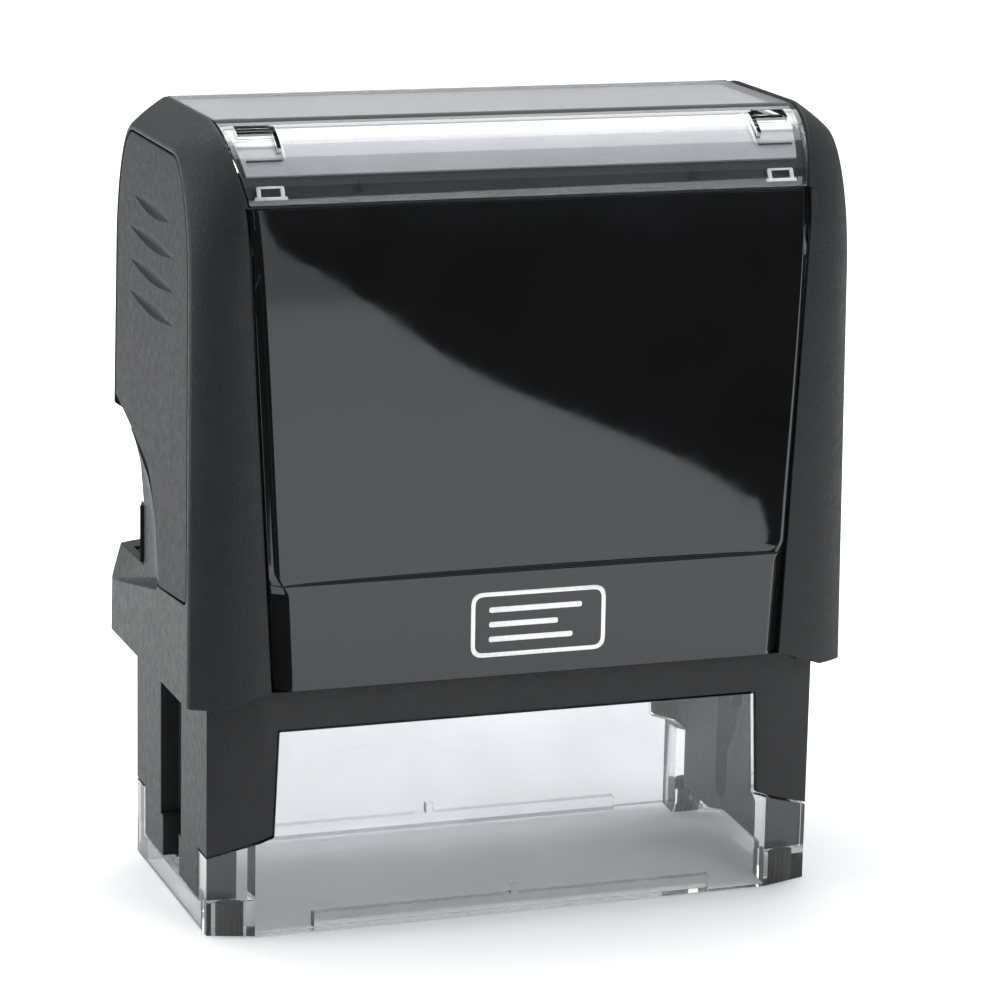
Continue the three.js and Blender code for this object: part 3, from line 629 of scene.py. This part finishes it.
def between_cheeks(outline_yz, inset, low, high):
    """Outline (y, z) pulled across, cut off at the cheeks' inner edges."""
    tool = prism(outline_yz, -42, 42, "X")
    heights = [low, 33, 93, high] if low < 33 else [low, 93.0001, high]
    right = [(edge_x(z) - inset, z) for z in heights]
    left = [(-x, z) for x, z in reversed(right)]
    return combine(tool, [prism(right + left, -30, 30, "Y")], "INTERSECT")


def panel_recess(bottom):
    outline = [(-PANEL_FLOOR_Y, bottom - GAP), (-PANEL_FLOOR_Y, CAVITY_SHOULDER),
               (-18.9, PANEL_TOP + GAP), (-26, PANEL_TOP + GAP), (-26, bottom - GAP)]
    return between_cheeks(outline, 0, 20, 100)


def cover_recess():
    floor = COVER_SKIN + COVER_THICK + GAP + CARD_THICK + GAP
    ground = [front_arc(floor, lerp(16, 90, i / 20)) for i in range(21)]
    ground = [(-y, z) for y, z in ground if z > PANEL_TOP + GAP]
    outline = [(-26, PANEL_TOP + GAP - 0.05), (-18.9, PANEL_TOP + GAP - 0.05)]
    outline += ground
    outline += [(COVER_REAR_Y + GAP, HOOD_TOP - floor), (COVER_REAR_Y + GAP, HOOD_TOP + 4),
                (-26, HOOD_TOP + 4)]
    return between_cheeks(outline, 0.4, 90, 108)


def scoop_edge(shift, drop, steps=14):
    curve = [(5.2 + shift, 58.2 - drop), (-1 + shift, 56.6 - drop),
             (-2.3 + shift, 52), (-4.5 + shift, 42.4)]
    return [(18.5, 62.5 - drop)] + [tuple(bezier(curve, k / steps)) for k in range(steps + 1)]


def scoop_tool():
    """The finger scoop on the right: a hollow with a curved front wall that opens towards the rear."""
    points = []
    layers = 12
    for i in range(layers + 1):
        t = math.sin(i / layers * math.pi / 2)
        bow = math.sin(t * math.pi / 2)
        x = lerp(SIDE_X + 0.4, SCOOP_INNER_X, t)
        shift = 8.5 * (1 - math.sqrt(max(0.0, 1 - t * t * 0.98)))
        top = lerp(64.3, 62.9, bow)
        floor = lerp(36.6, 42.4, t)
        points += [(x, 24, top), (x, 24, floor)]
        points += [(x, y, z) for y, z in scoop_edge(shift, lerp(0, 1.4, bow))]
    return hull(points)


def insert_outline(grow, into_scoop, steps=14):
    margin = 0.85 - grow
    front_edge = 18.3 + grow
    top = 98.7 + grow
    rear_edge = side_y(64) - margin
    corner = [(-side_y(z) + margin, z) for z in (64, 73)]
    for k in range(steps + 1):
        a = math.pi / 2 * k / steps
        corner.append((-10 - (8.28 - margin) * math.cos(a),
                       SIDE_SHOULDER + (top - SIDE_SHOULDER) * math.sin(a)))
    rear = [(-y, z) for y, z in reversed(corner)][:-1]
    scoop = [(y - 0.4, z + 0.7 - into_scoop) for y, z in scoop_edge(into_scoop, 0)]
    end = (-5.3 + into_scoop, INSERT_BOTTOM - 1.1 - grow)
    low = [(-front_edge, 50), (-front_edge, INSERT_BOTTOM - grow), end]
    low = rounded(low, [0, 1.3 + grow, 0])[1:-1]
    shoulder = (rear_edge, 63.2 - into_scoop)
    return [*reversed(low)] + corner + rear + [shoulder] + scoop[1:-1] + [end]


def insert_pocket():
    return lean_on_side(prism(insert_outline(GAP, 2), -INSERT_THICK - GAP, 1, "X"))


def lip_cut():
    outline = [(-40.4, HOOD_BOTTOM), (-35, 33), (35, 33), (40.4, HOOD_BOTTOM), (40.4, 28), (-40.4, 28)]
    return [prism(outline, -26, -CAVITY_Y + 1, "Y"), prism(outline, CAVITY_Y - 1, 26, "Y")]


def make_hood_shell():
    mouth = prism(REAR_MOUTH, -46, 46, "X")
    scoop, pocket = scoop_tool(), insert_pocket()
    tools = [hood_cavity(), panel_recess(PANEL_BOTTOM), turned_round(panel_recess(REAR_PANEL_BOTTOM)),
             cover_recess(), mouth, *lip_cut(), scoop, mirrored(scoop), pocket, mirrored(pocket)]
    shell = combine(hood_skin(), tools)
    add_piece("hood_shell_fine", shell, "black_grain", ["hood_shell"], bevel=0, weighted=True, sharp=28)


# ------------------------------------------------------------------ panels

PROFILE = [(33.5, 23.0), (47.6, 22.9), (67, 22.8), (80, 22.4), (87, 21.9), (90.5, 21.3), (93.4, 20.6)]


def profile_slope(i):
    """Slope of PROFILE at one of its points, from the points beside it."""
    z_before, y_before = PROFILE[max(i - 1, 0)]
    z_after, y_after = PROFILE[min(i + 1, len(PROFILE) - 1)]
    return (y_after - y_before) / (z_after - z_before)


def profile_y(z):
    """Distance of the panel's main face from the middle, as a smooth curve through PROFILE."""
    i = 0
    while i < len(PROFILE) - 2 and z > PROFILE[i + 1][0]:
        i += 1
    (z0, y0), (z1, y1) = PROFILE[i], PROFILE[i + 1]
    span = z1 - z0
    t = (z - z0) / span
    h1 = 2 * t ** 3 - 3 * t * t + 1
    h2 = t ** 3 - 2 * t * t + t
    h3 = -2 * t ** 3 + 3 * t * t
    h4 = t ** 3 - t * t
    return h1 * y0 + h2 * span * profile_slope(i) + h3 * y1 + h4 * span * profile_slope(i + 1)


CREASE_HALF = 31.3


def smooth(a, b, x):
    t = min(1.0, max(0.0, (x - a) / (b - a)))
    return t * t * (3 - 2 * t)


def front_face_y(x, z):
    """Front of the front panel at a point: the main face above the crease, the band below it."""
    reach = min(1.0, abs(x) / CREASE_HALF)
    w = 1 - math.sqrt(max(0.0, 1 - reach * reach))
    main = profile_y(max(z, 47)) + 0.35 * w * math.exp(-max(z - 47, 0) / 9)
    band = 23.5 + (47 - z) * 0.0108
    return lerp(band, main, smooth(46.85, lerp(47.4, 47.0, w), z))


def rear_face_y(x, z):
    return lerp(23.55, profile_y(z), smooth(64.8, 65.5, z))


def panel_mesh(rows, face_y, chamfer):
    """A closed panel: a fine front face with leaning sides, and a plain back."""
    verts, faces = [], []
    middle = [i / 20 for i in range(-20, 21)]
    for z in rows:
        rim = edge_x(z) - GAP
        wide = chamfer(z)
        deep = 0.75 * wide + 0.25
        rise = smooth(CAVITY_SHOULDER, PANEL_TOP, z) if z > CAVITY_SHOULDER else 0
        back = lerp(PANEL_BACK_Y, 19.2, rise)
        left = [(0.0, None), (0.0, deep + 0.15), (0.04, deep), (0.12, deep - 0.1),
                (wide - 0.45, 0.42 * deep / wide), (wide - 0.28, 0.2), (wide - 0.1, 0.07),
                (wide + 0.15, 0.01), (wide + 0.4, 0.0)]
        row = []
        for off, drop in left:
            x = -(rim - off)
            y = back if drop is None else max(back, face_y(x, z) - drop)
            row.append((x, -y, z))
        flat = rim - wide - 0.4
        row += [(flat * s, -face_y(flat * s, z), z) for s in middle[1:-1]]
        row += [(-x, y, z) for x, y, z in reversed(row[:len(left)])]
        verts += row
    width = len(verts) // len(rows)
    for r in range(len(rows) - 1):
        for c in range(width):
            a, b = r * width + c, r * width + (c + 1) % width
            faces.append((a, b, b + width, a + width))
    faces.append(tuple(range(width)))
    faces.append(tuple((len(rows) - 1) * width + c for c in range(width)))
    mesh = bpy.data.meshes.new("panel")
    mesh.from_pydata(verts, [], faces)
    bm = bmesh.new()
    bm.from_mesh(mesh)
    bmesh.ops.recalc_face_normals(bm, faces=bm.faces)
    bm.to_mesh(mesh)
    bm.free()
    return mesh


def panel_rows(low, high, fine_at, fine_half):
    rows = [low]
    z = low
    while z < high - 0.01:
        near = abs(z - fine_at) < fine_half
        z = min(high, z + (0.05 if abs(z - fine_at) < 0.4 else 0.35 if near else 1.6))
        rows.append(round(z, 4))
    return rows


def front_chamfer(z):
    return lerp(2.1, 1.0, smooth(45.5, 48.5, z))


def rear_chamfer(z):
    return 1.0


def make_panels():
    front_rows = panel_rows(PANEL_BOTTOM, PANEL_TOP, BAND_TOP, 2.5)
    front = panel_mesh(front_rows, front_face_y, front_chamfer)
    add_piece("front_panel_fine", front, "black_gloss", ["front_panel"], bevel=0.2, angle=50,
              weighted=True)
    rear_rows = panel_rows(REAR_PANEL_BOTTOM, PANEL_TOP, 65, 1.5)
    rear = panel_mesh(rear_rows, rear_face_y, rear_chamfer)
    add_piece("rear_panel_fine", turned_round(rear), "black_gloss", ["rear_panel"], bevel=0.2, angle=50,
              weighted=True)


def make_imprint():
    """Plain printed mark on the band: a rounded frame round three short bars."""
    x, z, half_x, half_z, line = 0.5, 40.2, 9.0, 4.2, 0.55

    def frame_outline(inset, radius):
        left, right = x - half_x + inset, x + half_x - inset
        low, high = z - half_z + inset, z + half_z - inset
        return rounded([(left, low), (right, low), (right, high), (left, high)], radius)

    face = front_face_y(0, z)
    outer = prism(frame_outline(0, 1.6), -face - 0.02, -face + 0.1, "Y")
    mark = combine(outer, [prism(frame_outline(line, 1.1), -30, 0, "Y")])
    lean = Matrix.Translation((0, -face, z)) @ Matrix.Rotation(-0.0108, 4, "X")
    lean = lean @ Matrix.Translation((0, face, -z))
    add_piece("imprint_frame", transformed(mark, lean), "print_and_highlight_white", body="hood", slot="", bevel=0)
    for i, half in enumerate((6.2, 4.6, 5.6)):
        height = z + 1.9 - 1.9 * i
        bar = prism(rounded([(x - 6.6, height - 0.35), (x - 6.6 + 2 * half, height - 0.35),
                             (x - 6.6 + 2 * half, height + 0.35), (x - 6.6, height + 0.35)], 0.3),
                    -face - 0.02, -face + 0.1, "Y")
        add_piece(f"imprint_bar_{i + 1}", transformed(bar, lean), "print_and_highlight_white", body="hood", slot="",
                  bevel=0)


# ------------------------------------------------------------------ grips and buttons

RIBS = [(90.9, 9.3), (86.7, 11.5), (82.5, 11.5), (78.3, 11.5)]


def rib_tool(height, reach):
    """Leaf-shaped groove with pointed ends and a soft line along its ground."""
    points = []
    for k in range(25):
        t = k / 24
        y = lerp(reach, -reach, t)
        z = height - 0.6 * t
        swell = math.sin(math.pi * t)
        for i in range(9):
            across = 2 * i / 8 - 1
            points.append((0.02 - 0.45 * swell * (1 - across * across), y,
                           z + (across * 0.95 - 0.15) * swell))
    return hull(points)


def make_grips():
    plate = softened(prism(insert_outline(0, 0), -INSERT_THICK, 0, "X"), 0.16, 35)
    insert = combine(plate, [rib_tool(*rib) for rib in RIBS])
    right = lean_on_side(insert)
    for name, mesh in (("grip_insert_right", right), ("grip_insert_left", mirrored(right))):
        add_piece(f"{name}_fine", mesh, "black_soft", [name], bevel=0, weighted=True, sharp=27)


def make_lock_buttons():
    """A wedge that narrows towards the rear."""
    inner, outer = BUTTON_X
    front, rear = BUTTON_Y
    button = prism([(inner, front), (outer, front), (inner + 0.1, rear), (inner, rear)], *BUTTON_Z, "Z")
    add_piece("lock_button_right_fine", button, "black_inner", ["lock_button_right"], bevel=0.06)
    add_piece("lock_button_left_fine", mirrored(button), "black_inner", ["lock_button_left"], bevel=0.06)


# ------------------------------------------------------------------ index cover and card

def ridge_cut(inset):
    right = [(edge_x(z) - inset, z) for z in (90, 93, 108)]
    return prism(right + [(-x, z) for x, z in reversed(right)], -30, 30, "Y")


def arc_outline(outer, inner, low_angle, rear_y, steps=28):
    outside = [front_arc(outer, lerp(low_angle, 90, i / steps)) for i in range(steps + 1)]
    inside = [front_arc(inner, lerp(low_angle, 90, i / steps)) for i in range(steps + 1)]
    outline = [(-y, z) for y, z in outside] + [(rear_y, HOOD_TOP - outer), (rear_y, HOOD_TOP - inner)]
    return outline + [(-y, z) for y, z in reversed(inside)]


def arc_patch(x, angles, inset=(1.53, 1.72), steps=6):
    """A thin curved patch under the cover's skin, between two angles of the rounding."""
    turns = [lerp(*angles, i / steps) for i in range(steps + 1)]
    outside = [front_arc(inset[0], a) for a in turns]
    inside = [front_arc(inset[1], a) for a in reversed(turns)]
    return prism([(-y, z) for y, z in outside + inside], *x, "X")


# Details at the cover's ends: look, and for each patch its span along X and its angles. The slot and
# seam are moulded; the white tab, rim and clip patches are painted highlights on the clear cover's edges
# there.
END_DETAILS = {
    "slot": ("black_inner", [((31.9, 36.4), (66, 75)), ((31.4, 31.9), (54, 73))]),
    "tab": ("print_and_highlight_white", [((31.9, 36.8), (59.5, 65.7))]),
    "rim": ("print_and_highlight_white", [((30.9, 31.2), (50, 78))]),
    "seam": ("black_inner", [((31.4, 36), (48.5, 49.3))]),
    "clip": ("print_and_highlight_white", [((31.9, 35.2), (31.4, 32.6)), ((31.5, 35.6), (24.6, 26.4)),
                             ((31.8, 32.3), (26, 32)), ((34.8, 35.3), (26, 32))]),
}


def make_cover():
    outline = arc_outline(COVER_SKIN, COVER_SKIN + COVER_THICK, COVER_LOW_ANGLE, COVER_REAR_Y)
    cover = combine(prism(outline, -42, 42, "X"), [ridge_cut(0.7)], "INTERSECT")
    _, slots = END_DETAILS["slot"]
    cover = combine(cover, [arc_patch(on_side(side, *x), angles, (-1, 1.53))
                            for side in (-1, 1) for x, angles in slots])
    add_piece("index_cover_fine", cover, "clear_plastic", ["index_cover"], bevel=0.2, angle=40)


def make_card():
    outer = COVER_SKIN + COVER_THICK + GAP
    outline = arc_outline(outer, outer + CARD_THICK, CARD_LOW_ANGLE, COVER_REAR_Y - 0.5)
    card = combine(prism(outline, -42, 42, "X"), [ridge_cut(1.6)], "INTERSECT")
    add_piece("index_card_fine", card, "card", ["index_card"], bevel=0.05, angle=40)


def make_cover_details():
    for side, word in ((-1, "left"), (1, "right")):
        for part, (look, patches) in END_DETAILS.items():
            for i, (x, angles) in enumerate(patches):
                # The white tab, rim and clip patches are painted highlights, not printed marks.
                add_piece(f"cover_{part}_{word}_{i + 1}", arc_patch(on_side(side, *x), angles), look,
                          body="cover", slot="" if look == "print_and_highlight_white" else None, bevel=0)
        tick = arc_patch(on_side(side, 21.7, 22.3), (28, 36))
        add_piece(f"cover_tick_{word}", tick, "black_soft", body="cover", bevel=0)
    # A black strip along the fold: painted shade for the dark crease between cover and card.
    fold = block((-37, 37), (-TOP_FLAT_Y - 0.25, -TOP_FLAT_Y + 0.15), (HOOD_TOP - 1.8, HOOD_TOP - 1.55))
    add_piece("card_fold_shade", fold, "black_inner", body="cover", bevel=0)


# ------------------------------------------------------------------ base

RUBBER_FEET = ("rubber_foot_front_left", "rubber_foot_front_right",
               "rubber_foot_rear_left", "rubber_foot_rear_right")
PLUG_RADIUS = 1.68


def disc(middle, radius, low, high, sides=40):
    angles = [2 * math.pi * i / sides for i in range(sides)]
    return prism([(middle.x + radius * math.cos(a), middle.y + radius * math.sin(a)) for a in angles],
                 low, high, "Z")


def make_base():
    add_piece("base_frame_fine", from_cad("base_frame"), "black_grain", ["base_frame"], bevel=0.35)
    foot = from_cad("clear_foot")
    for node in RUBBER_FEET:
        low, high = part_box(node)
        middle = (low + high) / 2 / MM
        filled = disc(middle, 2.3, 0.3, 4.8)
        foot = combine(foot, [filled], "UNION")
        foot = combine(foot, [disc(middle, PLUG_RADIUS - 0.2, -1, high.z / MM - 0.02)])
    add_piece("clear_foot_fine", foot, "clear_plastic", ["clear_foot"], bevel=0.3, angle=50)


def make_rubber_feet():
    for node in RUBBER_FEET:
        low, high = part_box(node)
        middle = (low + high) / 2 / MM
        ribs, per_rib = 14, 6
        outline = []
        for i in range(ribs * per_rib):
            a = 2 * math.pi * i / (ribs * per_rib)
            radius = PLUG_RADIUS + 0.12 * math.cos(ribs * a)
            outline.append((middle.x + radius * math.cos(a), middle.y + radius * math.sin(a)))
        plug = prism(outline, low.z / MM, high.z / MM, "Z")
        add_piece(f"{node}_fine", plug, "foot_rubber", [node], bevel=0.2, angle=50)


# ------------------------------------------------------------------ spring

def make_spring():
    radius, wire = 6.5, 0.6
    low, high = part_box("return_spring")
    bottom, top = low.z / MM + wire, high.z / MM - wire
    turns, per_turn, round_wire = 9.5, 36, 12
    steps = int(turns * per_turn)
    verts, faces = [], []
    for i in range(steps + 1):
        t = i / steps
        turn = turns * t
        ease = smooth(0, 1, min(1.0, max(0.0, (turn - 0.75) / (turns - 1.5))))
        even = min(1.0, max(0.0, (turn - 0.75) / (turns - 1.5)))
        height = lerp(bottom + 1.1 * min(turn, 0.75) / 0.75, top - 1.1, lerp(even, ease, 0.15))
        if turn > turns - 0.75:
            height = top - 1.1 * (turns - turn) / 0.75
        a = 2 * math.pi * turn
        out = Vector((math.cos(a), math.sin(a), 0))
        centre = out * radius + Vector((0, 0, height))
        for k in range(round_wire):
            b = 2 * math.pi * k / round_wire
            verts.append(centre + out * wire * math.cos(b) + Vector((0, 0, wire * math.sin(b))))
    for i in range(steps):
        for k in range(round_wire):
            a, b = i * round_wire + k, i * round_wire + (k + 1) % round_wire
            faces.append((a, b, b + round_wire, a + round_wire))
    faces.append(tuple(range(round_wire)))
    faces.append(tuple(steps * round_wire + k for k in range(round_wire)))
    coil = mesh_from(verts, faces)
    spring = add_piece("return_spring_fine", coil, "steel", ["return_spring"], bevel=0)
    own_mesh(spring)


# ------------------------------------------------------------------ inside

def make_inside():
    add_piece("yoke_fine", from_cad("yoke"), "black_inner", ["yoke"], bevel=0.3)
    add_piece("ink_tray_fine", from_cad("ink_tray"), "black_inner", ["ink_tray"], bevel=0.3)
    add_piece("plate_holder_fine", from_cad("plate_holder"), "black_inner", ["plate_holder"], bevel=0.25)
    add_piece("text_plate_fine", from_cad("text_plate"), "print_rubber", ["text_plate"], bevel=0.15)
    axle = from_cad("plate_axle")
    add_piece("plate_axle_fine", axle, "steel", ["plate_axle"], bevel=0.3, angle=40)
    for node, look in (("ink_pad", "inked_foam"), ("foam_backing", "foam")):
        pad = add_piece(f"{node}_fine", from_cad(node), look, [node], bevel=0.35, segments=4)


# ------------------------------------------------------------------ studio

def make_camera():
    azimuth, elevation, roll = (math.radians(a) for a in (-19.676, 13.766, 1.193))
    back = Vector((math.sin(azimuth) * math.cos(elevation), -math.cos(azimuth) * math.cos(elevation),
                   math.sin(elevation)))
    target = Vector((3.438, 0, 50.135))
    right = (-back).cross(Vector((0, 0, 1))).normalized()
    up = right.cross(-back)
    cam_x = right * math.cos(roll) + up * math.sin(roll)
    cam_y = up * math.cos(roll) - right * math.sin(roll)
    data = bpy.data.cameras.new("camera")
    data.sensor_width = 36
    data.lens = 144.46
    data.clip_start = 0.01
    data.clip_end = 20
    camera = bpy.data.objects.new("camera", data)
    place = Matrix((cam_x, cam_y, back)).transposed().to_4x4()
    place.translation = (target + back * 525.792) * MM
    camera.matrix_world = place
    bpy.context.scene.collection.objects.link(camera)
    bpy.context.scene.camera = camera


def make_lamp(name, place, target, size, power, colour=(1, 1, 1)):
    data = bpy.data.lights.new(name, "AREA")
    data.shape = "RECTANGLE"
    data.size, data.size_y = size
    data.energy = power
    data.color = colour
    lamp = bpy.data.objects.new(name, data)
    lamp.location = place
    lamp.rotation_euler = (Vector(target) - Vector(place)).to_track_quat("-Z", "Y").to_euler()
    bpy.context.scene.collection.objects.link(lamp)
    return lamp


def white_floor():
    """Matt white floor that glows more and more away from the object, so it ends in plain white."""
    material, tree, shader, _ = new_material("floor_white")
    paper = noise(tree, 30, 3)
    colour = shade_mix(tree, paper, (0.90, 0.90, 0.905), (0.915, 0.915, 0.92))
    tree.links.new(colour, shader.inputs["Base Color"])
    shader.inputs["Roughness"].default_value = 0.9
    shader.inputs["Specular IOR Level"].default_value = 0.1
    shader.inputs["Emission Color"].default_value = (1, 1, 1, 1)
    coords = tree.nodes.new("ShaderNodeTexCoord")
    distance = tree.nodes.new("ShaderNodeVectorMath")
    distance.operation = "LENGTH"
    tree.links.new(coords.outputs["Object"], distance.inputs[0])
    glow = spread(tree, distance.outputs["Value"], 0.08, 0.6, 0.06, 0.2)
    tree.links.new(glow, shader.inputs["Emission Strength"])
    return material


def glow_white():
    material, tree, shader, _ = new_material("glow_white")
    cloth = noise(tree, 5, 2)
    tree.links.new(shade_mix(tree, cloth, (0.95,) * 3, (1,) * 3), shader.inputs["Emission Color"])
    shader.inputs["Emission Strength"].default_value = 1.1
    shader.inputs["Base Color"].default_value = (0, 0, 0, 1)
    return material


def flag_black():
    material, tree, shader, _ = new_material("flag_black")
    cloth = noise(tree, 300, 2)
    tree.links.new(shade_mix(tree, cloth, (0.001,) * 3, (0.002,) * 3), shader.inputs["Base Color"])
    shader.inputs["Roughness"].default_value = 1.0
    shader.inputs["Specular IOR Level"].default_value = 0.0
    return material


def sheet(name, corners, material):
    mesh = bpy.data.meshes.new(name)
    mesh.from_pydata(corners, [], [tuple(range(len(corners)))])
    mesh.materials.append(material)
    piece = bpy.data.objects.new(name, mesh)
    bpy.context.scene.collection.objects.link(piece)
    return piece


# Outline (x, z) in metres of the black card in front. Its slanting edge is what parts the panel's
# reflection into a grey lower left and a black upper right.
FLAG_Y = -0.2
RIGHT_FLAG = [(0.118, 0), (0.1104, 0.0057), (0.0957, 0.0153), (0.086, 0.0207), (0.0764, 0.0265),
              (0.067, 0.0327), (0.0576, 0.0395), (0.048, 0.0478), (0.0394, 0.0575), (0.0325, 0.0685),
              (0.0265, 0.0825), (0.0219, 0.0983), (0.019, 0.117), (0.0173, 0.142), (0.0165, 0.17),
              (0.016, 0.3), (1.2, 0.3), (1.2, 0)]


def card_upright(name, outline, material):
    return sheet(name, [(x, FLAG_Y, z) for x, z in outline], material)


def make_stage():
    """The floor, and four sheets that only reflections see. Black ones darken panels and cheeks, and
    a bright one far in front lights them."""
    floor = sheet("floor", [(-4, -4, 0), (4, -4, 0), (4, 4, 0), (-4, 4, 0)], white_floor())
    cloth = flag_black()
    flags = [
        card_upright("flag_right", RIGHT_FLAG, cloth),
        card_upright("flag_left", [(-0.7, 0), (-0.02, 0), (-0.02, 0.25), (-0.7, 0.25)], cloth),
        sheet("flag_low", [(-0.7, -0.19, 0.002), (-0.055, -0.19, 0.002), (-0.055, -0.045, 0.002),
                           (-0.7, -0.045, 0.002)], cloth),
        sheet("bright_wall", [(-1.5, -1.6, 0), (1.5, -1.6, 0), (1.5, -1.6, 1.2), (-1.5, -1.6, 1.2)],
              glow_white()),
    ]
    for flag in flags:
        flag.visible_camera = False
        flag.visible_diffuse = False
        flag.visible_shadow = False
        flag.visible_transmission = False


def make_world():
    world = bpy.data.worlds.new("studio")
    bpy.context.scene.world = world
    world.use_nodes = True
    tree = world.node_tree
    tree.nodes.clear()
    output = tree.nodes.new("ShaderNodeOutputWorld")
    seen = tree.nodes.new("ShaderNodeBackground")
    seen.inputs[0].default_value = (1, 1, 1, 1)
    seen.inputs[1].default_value = 1.0
    light = tree.nodes.new("ShaderNodeBackground")
    light.inputs[0].default_value = (0.97, 0.98, 1, 1)
    light.inputs[1].default_value = 0.55
    path = tree.nodes.new("ShaderNodeLightPath")
    mix = tree.nodes.new("ShaderNodeMixShader")
    tree.links.new(path.outputs["Is Camera Ray"], mix.inputs[0])
    tree.links.new(light.outputs[0], mix.inputs[1])
    tree.links.new(seen.outputs[0], mix.inputs[2])
    tree.links.new(mix.outputs[0], output.inputs[0])


def make_lights():
    """The top softbox gives the light and the shadow. A narrower lamp behind it gives the highlight."""
    softbox = make_lamp("top_softbox", (0.0, 0.15, 0.75), (0, 0, 0.05), (0.7, 0.5), 5.5)
    softbox.visible_glossy = False
    shine = make_lamp("top_shine", (0.0, 0.3, 0.7), (0, 0, 0.05), (0.7, 0.36), 3.0)
    shine.visible_diffuse = False
    make_lamp("left_softbox", (-0.75, 0.1, 0.35), (0, 0, 0.05), (0.5, 0.6), 3)
    make_lamp("front_fill", (0.45, -0.8, 0.5), (0, 0, 0.05), (0.5, 0.4), 3.0)


make_hood_shell()
make_panels()
make_imprint()
make_grips()
make_lock_buttons()
make_cover()
make_card()
make_cover_details()
make_base()
make_rubber_feet()
make_spring()
make_inside()
make_camera()
make_stage()
make_world()
make_lights()
bpy.context.scene.view_settings.view_transform = "Standard"
